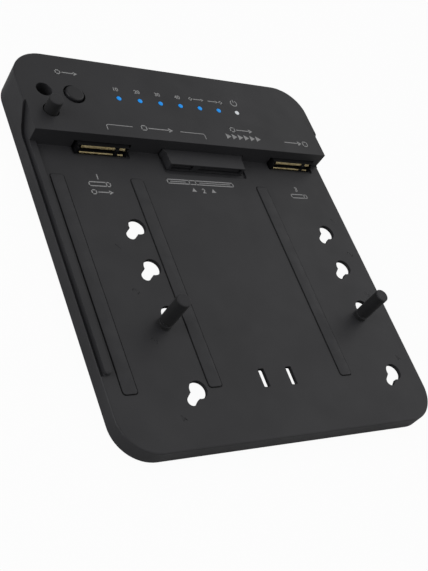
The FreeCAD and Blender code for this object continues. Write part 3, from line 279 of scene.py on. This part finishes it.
def printed_ink():
    """Pad-printed light grey ink: thin, matt, and a little patchy where the grain lifts the pad."""
    material, tree, shader, place = new_material("pad_printed_ink", IOR=1.48, Specular_IOR_Level=0.25)
    blot_mm = 0.35
    patch_mm = 0.8
    grain_mm = 0.32
    grain_depth_mm = 0.006
    colour = two_tone(tree, place, blot_mm, "6F6F70", "898989", detail=3.0)
    tree.links.new(colour, shader.inputs["Base Color"])
    tree.links.new(uneven_roughness(tree, place, patch_mm, 0.55, 0.75), shader.inputs["Roughness"])
    tree.links.new(grained(tree, place, grain_mm, grain_depth_mm), shader.inputs["Normal"])
    return material


def solder_mask():
    """Glass-epoxy laminate under dark green solder mask: glossy, with the weave just showing through."""
    patch_mm = 3.0
    weave_mm = 0.8
    weave_depth_mm = 0.01
    material, tree, shader, place = new_material("solder_masked_laminate", IOR=1.55, Coat_Weight=0.4)
    tree.links.new(two_tone(tree, place, patch_mm, "0C2A1C", "123A28"), shader.inputs["Base Color"])
    tree.links.new(uneven_roughness(tree, place, patch_mm, 0.25, 0.4), shader.inputs["Roughness"])
    weave = add(tree, "ShaderNodeTexWave", {
        "Vector": place, "Scale": per_grain(weave_mm), "Distortion": 0.4,
    })
    bump = add(tree, "ShaderNodeBump", {"Height": weave.outputs["Fac"], "Distance": weave_depth_mm * MM})
    tree.links.new(bump.outputs["Normal"], shader.inputs["Normal"])
    return material


materials = {
    # ABS of the shell: near black and satin, with an even grain that breaks up every reflection
    "housing": moulded_plastic("moulded_abs_grained", "222224", "272729", 0.52),
    # The same ABS from a smoother spot of the mould: a shade darker, for numbers that hardly show
    "mark": moulded_plastic("moulded_abs_smooth", "1C1C1E", "202022", 0.5, 0.5, 0.004, 0.02),
    # ABS of the cover: duller, with a coarser grain
    "cover": moulded_plastic("moulded_abs_cover", "202022", "262628", 0.6, grain_mm=0.45),
    # ABS of the keys: darker and closer in grain, with rounder edges
    "key": moulded_plastic("moulded_abs_key", "18181A", "1E1E20", 0.45, grain_mm=0.25, edge_mm=0.35),
    # Glass-filled nylon of sockets and ports: almost black, with crisp edges
    "nylon": moulded_plastic("glass_filled_nylon", "0C0C0D", "111113", 0.42, 0.2, 0.008, 0.12, 0.2),
    # Liquid-crystal polymer of the drive connector: dark grey, even, with crisp edges
    "liquid_crystal": moulded_plastic("connector_polymer", "252527", "2A2A2C", 0.5, 0.2, 0.008, 0.12),
    # Epoxy moulding compound of the chips: matt, with sharp edges
    "resin": moulded_plastic("epoxy_moulding_compound", "17181A", "1F2022", 0.5, 0.15, 0.006, 0.08),
    # Sintered ferrite of the coils: mid grey, like fine stone
    "ferrite": moulded_plastic("sintered_ferrite", "3A3B3D", "47484A", 0.6, 0.2, 0.01, 0.15),
    # Silicone rubber: strips level with the shell's tone, softer pins with round rims, duller feet; the
    # last number of strips and pins darkens their walls, as painted shade
    "strip": soft_rubber("moulded_silicone_strip", "242426", "29292B", 0.6, 0.5, 0.12, 0.3),
    "pin": soft_rubber("moulded_silicone_pin", "202022", "262628", 0.62, 0.4, 0.4, 0.42),
    "foot": soft_rubber("moulded_silicone_foot", "1F2021", "262728", 0.7, 0.6, 0.3),
    # Gold plating over bronze: pale, with a soft sheen
    "gold": plated_metal("gold_plated_bronze", "AD9A70", "C6B88E", 0.32, 0.1),
    # Nickel-plated steel of shells and pins: bright, faintly brushed
    "steel": plated_metal("nickel_plated_steel", "A9AAAC", "C4C5C7", 0.28, 0.12),
    # Black oxide steel of the screws: dark, with a dull sheen
    "black_steel": plated_metal("black_oxide_steel", "2A2A2C", "3A3A3D", 0.4, 0.15),
    # Drawn aluminium of the capacitors' cans: pale and satin
    "aluminium": plated_metal("drawn_aluminium_can", "B8BABD", "CFD1D4", 0.32, 0.2),
    "board": solder_mask(),
    "blue_lens": lit_lens("blue_light_pipe", "06243C", "0C84DC", "149AF6", 0.85),
    "white_lens": lit_lens("white_light_pipe", "5A5E62", "D4D8DC", "F4F6F8", 0.62),
    # Phosphor-filled resin of the light chips: pale yellow, faintly lit
    "led": lit_lens("led_package_resin", "A89F70", "C9C08E", "E6DFB4", 0.3),
    "ink": printed_ink(),
}

node_finish = {
    "top_housing": "housing",
    "bottom_cover": "cover",
    "main_board": "board",
    "card_socket_left": "nylon",
    "card_socket_right": "nylon",
    "drive_connector": "liquid_crystal",
    "dc_inlet": "nylon",
    "data_port_tongue": "nylon",
    "power_switch_case": "nylon",
    "card_contacts_left": "gold",
    "card_contacts_right": "gold",
    "drive_contacts": "gold",
    "grip_strip_left": "strip",
    "grip_strip_middle": "strip",
    "grip_strip_right": "strip",
    "rubber_feet": "foot",
    "card_pin_left": "pin",
    "card_pin_right": "pin",
    "spare_pin": "pin",
    "progress_light_pipes": "blue_lens",
    "power_light_pipe": "white_lens",
    "status_leds": "led",
    "clone_button": "key",
    "key_plunger": "key",
    "power_rocker": "key",
    "key_switch": "steel",
    "dc_inlet_pin": "steel",
    "data_port_shell": "steel",
    "cover_screws": "black_steel",
    "board_screws": "black_steel",
    "controller_chip": "resin",
    "bridge_chips": "resin",
    "power_coils": "ferrite",
    "capacitors": "aluminium",
}


def dress(obj, finish):
    """Gives a piece or a solid one of the finishes."""
    obj.data.materials.clear()
    obj.data.materials.append(materials[finish])


for node_name, finish in node_finish.items():
    dress(nodes[node_name], finish)


def deselect():
    bpy.ops.object.select_all(action="DESELECT")


def select_only(obj):
    deselect()
    obj.select_set(True)
    bpy.context.view_layer.objects.active = obj


def place_in_mesh():
    """Moves the place, turn and size of what is selected into its mesh."""
    bpy.ops.object.transform_apply(location=True, rotation=True, scale=True)


def finished(obj, name, finish, body="base"):
    """Names a piece, puts its place in its mesh, gives it its finish and lets it ride on its body."""
    select_only(obj)
    place_in_mesh()
    obj.name = name
    dress(obj, finish)
    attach(obj, body)
    return obj


def joined(parts):
    """Joins loose parts into the first of them."""
    deselect()
    for part in parts:
        part.select_set(True)
    bpy.context.view_layer.objects.active = parts[0]
    place_in_mesh()
    bpy.ops.object.join()
    return bpy.context.object


def copied_to(pattern, places):
    """Copies of a piece, each with its own mesh, moved by these amounts; the pattern itself goes."""
    copies = []
    for place in places:
        copy = pattern.copy()
        copy.data = pattern.data.copy()
        copy.location = place
        bpy.context.scene.collection.objects.link(copy)
        copies.append(copy)
    bpy.data.objects.remove(pattern)
    return copies


def bevelled(piece, chosen, width, segments):
    """Rounds those edges of the active piece whose two ends pass the test."""
    corners = piece.data.vertices
    bpy.ops.object.mode_set(mode="EDIT")
    bpy.ops.mesh.select_mode(type="EDGE")
    bpy.ops.mesh.select_all(action="DESELECT")
    bpy.ops.object.mode_set(mode="OBJECT")
    for edge in piece.data.edges:
        edge.select = chosen(*(corners[index].co for index in edge.vertices))
    bpy.ops.object.mode_set(mode="EDIT")
    bpy.ops.mesh.bevel(offset=width, segments=segments, affect="EDGES")
    bpy.ops.object.mode_set(mode="OBJECT")


def block(low, high):
    """A box between two corners, as the start of a piece."""
    deselect()
    bpy.ops.mesh.primitive_cube_add(size=1, location=[(a + b) / 2 for a, b in zip(low, high)])
    box = bpy.context.object
    box.scale = [b - a for a, b in zip(low, high)]
    place_in_mesh()
    return box


def thickened(obj):
    """Gives a flat print the thickness of a coat of ink, downwards to the surface that carries it."""
    select_only(obj)
    coat = obj.modifiers.new("coat", "SOLIDIFY")
    coat.thickness = ink_thickness
    bpy.ops.object.modifier_apply(modifier=coat.name)


def printed_number(name, figures, x, y, z, height, turn=0.0, finish="ink", stroke=bold_stroke):
    """Plain figures, printed with their middle at a place and with this height."""
    deselect()
    bpy.ops.object.text_add(location=(0, 0, 0))
    text = bpy.context.object
    text.data.body = figures
    text.data.offset = stroke
    bpy.ops.object.convert(target="MESH")
    low = [min(v.co[axis] for v in text.data.vertices) for axis in (0, 1)]
    high = [max(v.co[axis] for v in text.data.vertices) for axis in (0, 1)]
    middle = Matrix.Translation((-(low[0] + high[0]) / 2, -(low[1] + high[1]) / 2, 0))
    scale = height / (high[1] - low[1])
    text.data.transform(Matrix.Rotation(turn, 4, "Z") @ Matrix.Diagonal((scale, scale, 1, 1)) @ middle)
    text.location = (x, y, z + ink_lift)
    thickened(text)
    return finished(text, name, finish)


def bar(x0, y0, x1, y1, z):
    """One straight printed bar between two corners."""
    deselect()
    bpy.ops.mesh.primitive_plane_add(size=1, location=((x0 + x1) / 2, (y0 + y1) / 2, z + ink_lift))
    flat = bpy.context.object
    flat.scale = (abs(x1 - x0), abs(y1 - y0), 1)
    return flat


def arrow_head(x, y, length, z, turn=-math.pi / 2):
    """A printed triangle that points right, or the way that the turn gives."""
    deselect()
    bpy.ops.mesh.primitive_circle_add(
        vertices=3, radius=length * 2 / 3, fill_type="NGON",
        location=(x, y, z + ink_lift), rotation=(0, 0, turn),
    )
    return bpy.context.object


def arc_of_ink(x, y, radius, turns, z, width=bar_width):
    """A printed line along part of a ring; turns are measured from the rear, clockwise."""
    rims = (radius - width / 2, radius + width / 2)
    points = [
        (x + rim * math.sin(turn), y + rim * math.cos(turn), z + ink_lift)
        for rim in rims for turn in turns
    ]
    count = len(turns)
    faces = [(i, i + 1, count + i + 1, count + i) for i in range(count - 1)]
    mesh = bpy.data.meshes.new("arc")
    mesh.from_pydata(points, [], faces)
    arc = bpy.data.objects.new("arc", mesh)
    bpy.context.scene.collection.objects.link(arc)
    return arc


def turns_between(first, last, steps):
    """Evenly spaced turns from one to another, given in degrees."""
    return [math.radians(first + (last - first) * step / steps) for step in range(steps + 1)]


def frame_of_bars(x0, y0, x1, y1, z):
    """The four bars of an outlined box."""
    sides = (
        (x0, y0, x0 + bar_width, y1),
        (x1 - bar_width, y0, x1, y1),
        (x0, y1 - bar_width, x1, y1),
        (x0, y0, x1, y0 + bar_width),
    )
    return [bar(*corners, z) for corners in sides]


def printed(name, marks):
    """Joins loose marks into one printed piece."""
    mark = joined(marks)
    thickened(mark)
    return finished(mark, name, "ink")


def transfer_mark(name, x0, x1, y0, y1, z, out):
    """A box with an arrow that leaves it, or that goes into it: where data comes from or goes to."""
    side = y1 - y0
    gap = side / 4
    shaft_stop, head_centre, head_length = side * 0.5, side * 0.45, side * 0.75
    middle = (y0 + y1) / 2
    box_x = x0 if out else x1 - side
    start, end = (x0 + side + gap, x1) if out else (x0, x1 - side - gap)
    marks = frame_of_bars(box_x, y0, box_x + side, y1, z)
    marks.append(bar(start, middle - bar_width / 2, end - shaft_stop, middle + bar_width / 2, z))
    marks.append(arrow_head(end - head_centre, middle, head_length, z))
    return printed(name, marks)


def print_bracket(name, outer_x, inner_x, foot_y, top_y, z):
    """A bracket beside a mark: a short leg, a round corner and a long arm towards the mark."""
    way = math.copysign(1, inner_x - outer_x)
    corner_x = outer_x + way * bracket_corner
    corner_y = top_y - bracket_corner
    turns = turns_between(-90, 0, 6) if way > 0 else turns_between(0, 90, 6)
    printed(name, [
        bar(outer_x, foot_y, outer_x + way * bracket_line, corner_y, z),
        arc_of_ink(corner_x, corner_y, bracket_corner - bracket_line / 2, turns, z, bracket_line),
        bar(corner_x, top_y - bracket_line, inner_x, top_y, z),
    ])


def print_power_mark(x, y, z):
    """The common power sign: an open ring, with a stem in the gap."""
    ring_radius = 1.55 * MM
    half_gap = 35
    stem_foot = 0.2 * MM
    stem_top = 2.0 * MM
    half = fine_bar_width / 2
    printed("power_mark", [
        arc_of_ink(x, y, ring_radius, turns_between(half_gap, 360 - half_gap, 28), z),
        bar(x - half, y + stem_foot, x + half, y + stem_top, z),
    ])


def print_head():
    """The lights' numbers and signs, and a mark for what each place on the head is for."""
    z = head_top
    number_y = lamp_y + 4.75 * MM
    for index, figures in enumerate(("10", "20", "30", "40")):
        printed_number(f"light_scale_{figures}", figures, lamp_x(index), number_y, z, small_number_height)
    print_power_mark(*mm(29.6, 68.6), z)
    transfer_mark("light_mark_out", *mm(6.0, 13.5, 67.1, 68.9), z, out=True)
    transfer_mark("light_mark_in", *mm(15.8, 23.2, 67.1, 68.9), z, out=False)
    transfer_mark("key_mark", *mm(-53.2, -43.8, 72.3, 74.6), z, out=True)
    transfer_mark("side_mark_out", *mm(-23.6, -9.0, 47.4, 50.1), z, out=True)
    transfer_mark("side_mark_in", *mm(48.6, 61.8, 47.4, 50.3), z, out=False)
    bracket_foot, bracket_top = mm(46.0, 48.85)
    print_bracket("bracket_left", *mm(-39.2, -27.4), bracket_foot, bracket_top, z)
    print_bracket("bracket_right", *mm(6.4, -5.4), bracket_foot, bracket_top, z)
    arrow_x, arrow_y, arrow_length, arrow_pitch = mm(18.4, 48.95, 2.5, 3.1)
    printed("run_of_arrows", [
        arrow_head(arrow_x + arrow_pitch * index, arrow_y, arrow_length, z) for index in range(6)
    ])
    transfer_mark("copy_mark", *mm(21.0, 32.6, 51.6, 54.2), z, out=True)


def card_mark(x0, x1, y0, y1, z):
    """The outline of a card with its plug end marked off."""
    plug_share = 0.78
    plug_x = x0 + (x1 - x0) * plug_share
    return frame_of_bars(x0, y0, x1, y1, z) + [bar(plug_x, y0, plug_x + bar_width, y1, z)]


def plug_mark(x0, x1, y0, y1, z):
    """The outline of a drive's plug: its key's two sides and a line for each row of contacts."""
    middle = (y0 + y1) / 2
    half = fine_bar_width / 2
    marks = frame_of_bars(x0, y0, x1, y1, z)
    for key_x in mm(-4.2, -1.2):
        marks.append(bar(key_x, y0, key_x + fine_bar_width, y1, z))
    for row_x0, row_x1 in (mm(-13.0, -5.8), mm(0.8, 16.2)):
        marks.append(bar(row_x0, middle - half, row_x1, middle + half, z))
    return marks


def print_deck():
    """The mark before each socket: its number, what it takes, and which way the data goes."""
    z = deck_top
    printed_number("slot_number_1", "1", *mm(-45.3, 29.45), z, slot_number_height)
    printed("slot_card_1", card_mark(*mm(-50.0, -40.7, 24.8, 27.1), z))
    transfer_mark("slot_way_1", *mm(-50.0, -40.9, 21.0, 23.3), z, out=True)
    printed("plug_outline", plug_mark(*mm(-14.6, 17.8, 28.4, 30.8), z))
    printed_number("slot_number_2", "2", *mm(1.5, 25.6), z, plug_number_height)
    arrow_y, arrow_length = mm(25.6, 1.9)
    printed("plug_arrows", [
        arrow_head(arrow_x, arrow_y, arrow_length, z, turn=0.0) for arrow_x in mm(-3.2, 6.2)
    ])
    printed_number("slot_number_3", "3", *mm(51.4, 29.5), z, slot_number_height)
    printed("slot_card_3", card_mark(*mm(47.0, 56.0, 24.6, 26.9), z))


def number_pin_places():
    """The numbers of the card pins' places, faint and a hair above the deck beside the keyholes."""
    turn = math.radians(45)
    places = {
        "left": ((-47.1, -2.2), (-46.4, -21.4), (-46.0, -41.5), (-45.7, -71.3)),
        "right": ((64.4, 13.0), (65.0, -4.4), (63.6, -24.7), (63.5, -55.4)),
    }
    for side, side_places in places.items():
        for figures, place in zip("1234", side_places):
            printed_number(
                f"pin_place_{side}_{figures}", figures, *mm(*place), deck_top,
                pin_number_height, turn, "mark", thin_stroke,
            )


def row_of_leaves(outline, x, y, z, count):
    """A row of equal leaf contacts: an outline drawn out to a leaf's width, repeated at the pitch."""
    deselect()
    bpy.ops.mesh.primitive_circle_add(vertices=len(outline), fill_type="NGON", location=(0, 0, 0))
    leaves = bpy.context.object
    for corner, (rearward, upward) in zip(leaves.data.vertices, outline):
        corner.co = (x, y + rearward * MM, z + upward * MM)
    bpy.ops.object.mode_set(mode="EDIT")
    bpy.ops.mesh.select_all(action="SELECT")
    bpy.ops.mesh.extrude_region_move(TRANSFORM_OT_translate={"value": (contact_width, 0, 0)})
    bpy.ops.mesh.select_all(action="SELECT")
    bpy.ops.mesh.normals_make_consistent(inside=False)
    bpy.ops.object.mode_set(mode="OBJECT")
    row = leaves.modifiers.new("row", "ARRAY")
    row.count = count
    row.use_relative_offset = False
    row.use_constant_offset = True
    row.constant_offset_displace = (contact_pitch, 0, 0)
    bpy.ops.object.modifier_apply(modifier=row.name)
    return leaves


def make_card_contacts(side):
    """Bent leaf contacts in two rows, above and below the card's slot; the upper leaves are the taller."""
    low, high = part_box(f"card_contacts_{side}")
    # Each leaf's outline seen from the side, in mm behind and above its row's place
    short = (
        (0.0, 0.02), (0.0, 0.3), (0.12, 0.58), (0.3, 0.76), (0.5, 0.8), (0.68, 0.7), (0.86, 0.5),
        (0.86, 0.02),
    )
    tall = (
        (-0.1, -0.5), (-0.1, -0.36), (0.06, 0.06), (0.24, 0.46), (0.42, 0.7), (0.58, 0.78), (0.86, 0.7),
        (0.86, -0.5),
    )
    rows = ((short, low.y, low.z), (tall, low.y + contact_set_back, high.z - contact_height))
    short_row_x = high.x - contact_width - (short_row_count - 1) * contact_pitch
    leaves = []
    for outline, row_y, row_z in rows:
        for row_x, count in ((low.x, long_row_count), (short_row_x, short_row_count)):
            leaves.append(row_of_leaves(outline, row_x, row_y, row_z, count))
    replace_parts(finished(joined(leaves), f"card_leaves_{side}", "gold"), f"card_contacts_{side}")


def make_grip_strip(side):
    """A flat silicone strip with round corners and a rolled rim, sunk in its seat but for a hair."""
    low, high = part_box(f"grip_strip_{side}")
    top = deck_top + strip_stand
    strip = block(low, (high.x, high.y, top))
    bevelled(strip, lambda a, b: abs(a.z - b.z) > hair, strip_corner, 6)
    bevelled(strip, lambda a, b: min(a.z, b.z) > top - hair, strip_edge, 3)
    bpy.ops.object.shade_smooth_by_angle(angle=smooth_angle)
    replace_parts(finished(strip, f"grip_rubber_{side}", "strip"), f"grip_strip_{side}")


def make_lenses():
    """The domed ends of the light pipes: a flattened ball, cut off just below the shell's surface."""
    radius = lens_diameter / 2
    deselect()
    bpy.ops.mesh.primitive_uv_sphere_add(
        segments=40, ring_count=16, radius=radius, location=(0, 0, head_top)
    )
    dome = bpy.context.object
    dome.scale = (1, 1, lens_rise / radius)
    place_in_mesh()
    bpy.ops.object.mode_set(mode="EDIT")
    bpy.ops.mesh.select_all(action="SELECT")
    bpy.ops.mesh.bisect(
        plane_co=(0, 0, head_top - lens_foot), plane_no=(0, 0, 1), threshold=hair,
        use_fill=True, clear_inner=True,
    )
    bpy.ops.mesh.select_all(action="SELECT")
    bpy.ops.mesh.normals_make_consistent(inside=False)
    bpy.ops.object.mode_set(mode="OBJECT")
    bpy.ops.object.shade_smooth_by_angle(angle=smooth_angle)
    places = [(lamp_x(index), lamp_y, 0) for index in range(blue_lamp_count + 1)]
    for index, lens in enumerate(copied_to(dome, places)):
        colour = "blue_lens" if index < blue_lamp_count else "white_lens"
        finished(lens, f"light_dome_{index + 1}", colour)


def make_screw_head(foot_z):
    """A pan head with a rolled edge and a cross recess below, standing on the middle of the frame."""
    deselect()
    bpy.ops.mesh.primitive_cylinder_add(
        vertices=40, radius=screw_head / 2, depth=screw_head_height,
        location=(0, 0, foot_z + screw_head_height / 2),
    )
    head = bpy.context.object
    edge = head.modifiers.new("rolled_edge", "BEVEL")
    edge.width = rolled_edge
    edge.segments = 3
    bpy.ops.object.modifier_apply(modifier=edge.name)
    for turn in (recess_turn, recess_turn + math.pi / 2):
        deselect()
        bpy.ops.mesh.primitive_cube_add(size=1, location=(0, 0, foot_z), rotation=(0, 0, turn))
        slot = bpy.context.object
        slot.scale = (recess_length, recess_width, recess_depth * 2)
        select_only(head)
        recess = head.modifiers.new("recess", "BOOLEAN")
        recess.operation = "DIFFERENCE"
        recess.object = slot
        bpy.ops.object.modifier_apply(modifier=recess.name)
        bpy.data.objects.remove(slot)
    return head


def make_cover_screws():
    """The four screws of the cover: pan heads below, on tapered shanks that reach up into the bosses."""
    low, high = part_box("cover_screws")
    head = make_screw_head(low.z)
    shank_z = low.z + screw_head_height
    deselect()
    bpy.ops.mesh.primitive_cone_add(
        vertices=24, radius1=screw_shank / 2, radius2=screw_shank * shank_taper,
        depth=high.z - shank_z, location=(0, 0, (shank_z + high.z) / 2),
    )
    screw = joined([head, bpy.context.object])
    inset = screw_head / 2
    places = [(side * (high.x - inset), high.y - inset, 0) for side in (-1, 1)]
    places += [(x, low.y + inset, 0) for x in front_screw_xs]
    screws = joined(copied_to(screw, places))
    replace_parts(finished(screws, "cross_recess_screws", "black_steel"), "cover_screws")


def mark_rocker():
    """The moulded line and ring on the two halves of the power switch's rocker."""
    low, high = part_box("power_switch_case")
    middle_x = (low.x + high.x) / 2
    middle_z = (low.z + high.z) / 2
    line_x, line_y = middle_x + 3.19 * MM, high.y - 1.76 * MM
    half_width, half_depth, half_height = mm(0.24, 0.05, 1.2)
    line = block(
        (line_x - half_width, line_y - half_depth, middle_z - half_height),
        (line_x + half_width, line_y + half_depth, middle_z + half_height),
    )
    bevelled(line, lambda a, b: abs(a.y - b.y) > hair, 0.22 * MM, 5)
    finished(line, "rocker_line", "ink", "rocker")
    flatness = 0.25
    tilt = math.radians(-20)
    deselect()
    bpy.ops.mesh.primitive_torus_add(
        major_radius=1.0 * MM, minor_radius=0.2 * MM, major_segments=40, minor_segments=10,
        location=(middle_x - 2.32 * MM, high.y - 0.79 * MM, middle_z), rotation=(math.pi / 2, 0, tilt),
    )
    ring = bpy.context.object
    ring.scale = (1, 1, flatness)
    bpy.ops.object.shade_smooth()
    finished(ring, "rocker_ring", "ink", "rocker")


print_head()
print_deck()
number_pin_places()
make_lenses()
for side_name in ("left", "right"):
    make_card_contacts(side_name)
for side_name in ("left", "middle", "right"):
    make_grip_strip(side_name)
make_cover_screws()
mark_rocker()


# Camera at the photograph's angle; focal length, principal point and frame are in its pixels
frame_width, frame_height = 428, 571
focal_pixels = 956.95
principal_x, principal_y = 229.07, 300.14
sensor = 36.0
camera_place = mm(-218.80, -177.54, 245.26)
camera_turn = [math.radians(turn) for turn in (39.085, -29.426, -23.109)]
near_limit = 10 * MM

camera_data = bpy.data.cameras.new("camera")
camera_data.lens = focal_pixels / frame_height * sensor
camera_data.shift_x = (frame_width / 2 - principal_x) / frame_height
camera_data.shift_y = (principal_y - frame_height / 2) / frame_height
camera_data.dof.use_dof = False
camera_data.clip_start = near_limit
camera = bpy.data.objects.new("camera", camera_data)
camera.location = camera_place
camera.rotation_euler = camera_turn
bpy.context.scene.collection.objects.link(camera)
bpy.context.scene.camera = camera


def soft_light(name, place, size, power, colour):
    """A square studio light that faces the part; its place and size are in metres, its power in watts."""
    data = bpy.data.lights.new(name, "AREA")
    data.size = size
    data.energy = power
    data.color = linear(colour)[:3]
    light = bpy.data.objects.new(name, data)
    light.location = place
    light.rotation_euler = (-Vector(place)).to_track_quat("-Z", "Y").to_euler()
    bpy.context.scene.collection.objects.link(light)


soft_light("key_light", place=(-0.9, 0.1, 0.35), size=0.6, power=5.0, colour="FFFFFF")
soft_light("top_light", place=(0.4, 0.2, 0.9), size=0.7, power=0.7, colour="FFFDFA")


def seen_directly(tree):
    """The light path's node, and a value: 1 where the camera looks, also through clear plastic."""
    ray = add(tree, "ShaderNodeLightPath", {})
    seen = add(tree, "ShaderNodeMath", {
        0: ray.outputs["Is Camera Ray"], 1: ray.outputs["Is Transmission Ray"],
    }, operation="MAXIMUM")
    return ray, seen.outputs["Value"]


def make_world():
    """White to the camera; a soft light, strongest overhead, with more to reflect on the right."""
    right_side = (0.85, -0.25, 0.3)
    left_gleam, right_gleam = 0.3, 1.0
    gleam_starts, gleam_full = 0.25, 0.62
    horizon_light, overhead_light = 0.16, 1.08
    world = bpy.data.worlds.new("studio")
    world.use_nodes = True
    bpy.context.scene.world = world
    tree = world.node_tree
    ray, seen = seen_directly(tree)
    direction = add(tree, "ShaderNodeTexCoord", {})
    to_the_right = add(tree, "ShaderNodeVectorMath", {
        0: direction.outputs["Generated"], 1: right_side,
    }, operation="DOT_PRODUCT")
    reflected = add(tree, "ShaderNodeMapRange", {
        "Value": to_the_right.outputs["Value"], "From Min": gleam_starts, "From Max": gleam_full,
        "To Min": left_gleam, "To Max": right_gleam,
    })
    height = add(tree, "ShaderNodeSeparateXYZ", {"Vector": direction.outputs["Generated"]})
    overhead = add(tree, "ShaderNodeMapRange", {
        "Value": height.outputs["Z"], "From Min": 0.0, "From Max": 1.0,
        "To Min": horizon_light, "To Max": overhead_light,
    })
    lit = add(tree, "ShaderNodeMix", {
        "Factor": ray.outputs["Is Glossy Ray"],
        "A": overhead.outputs["Result"], "B": reflected.outputs["Result"],
    })
    strength = add(tree, "ShaderNodeMath", {0: lit.outputs["Result"], 1: seen}, operation="MAXIMUM")
    background = tree.nodes["Background"]
    tree.links.new(strength.outputs["Value"], background.inputs["Strength"])
    background.inputs["Color"].default_value = (1, 1, 1, 1)


make_world()


def make_floor():
    """A plain pale sweep that keeps a faint shadow under the part; it is open to a view from below."""
    width = 8.0
    drop = 0.05 * MM
    white_share = 0.96
    deselect()
    bpy.ops.mesh.primitive_plane_add(size=width, location=(0, 0, -drop))
    floor = bpy.context.object
    floor.name = "floor"
    material, tree, shader, _ = new_material("painted_sweep", Roughness=0.9, Specular_IOR_Level=0.0)
    shader.inputs["Base Color"].default_value = linear("B0B0B0")
    glow = add(tree, "ShaderNodeEmission", {"Color": (1, 1, 1, 1), "Strength": 1.0})
    _, seen = seen_directly(tree)
    share = add(tree, "ShaderNodeMath", {0: seen, 1: white_share}, operation="MULTIPLY")
    mixed = add(tree, "ShaderNodeMixShader", {
        0: share.outputs["Value"], 1: shader.outputs["BSDF"], 2: glow.outputs["Emission"],
    })
    open_below = add(tree, "ShaderNodeMixShader", {
        0: add(tree, "ShaderNodeNewGeometry", {}).outputs["Backfacing"],
        1: mixed.outputs["Shader"],
        2: add(tree, "ShaderNodeBsdfTransparent", {}).outputs["BSDF"],
    })
    tree.links.new(open_below.outputs["Shader"], tree.nodes["Material Output"].inputs["Surface"])
    floor.data.materials.append(material)


make_floor()
bpy.context.scene.view_settings.view_transform = "Standard"
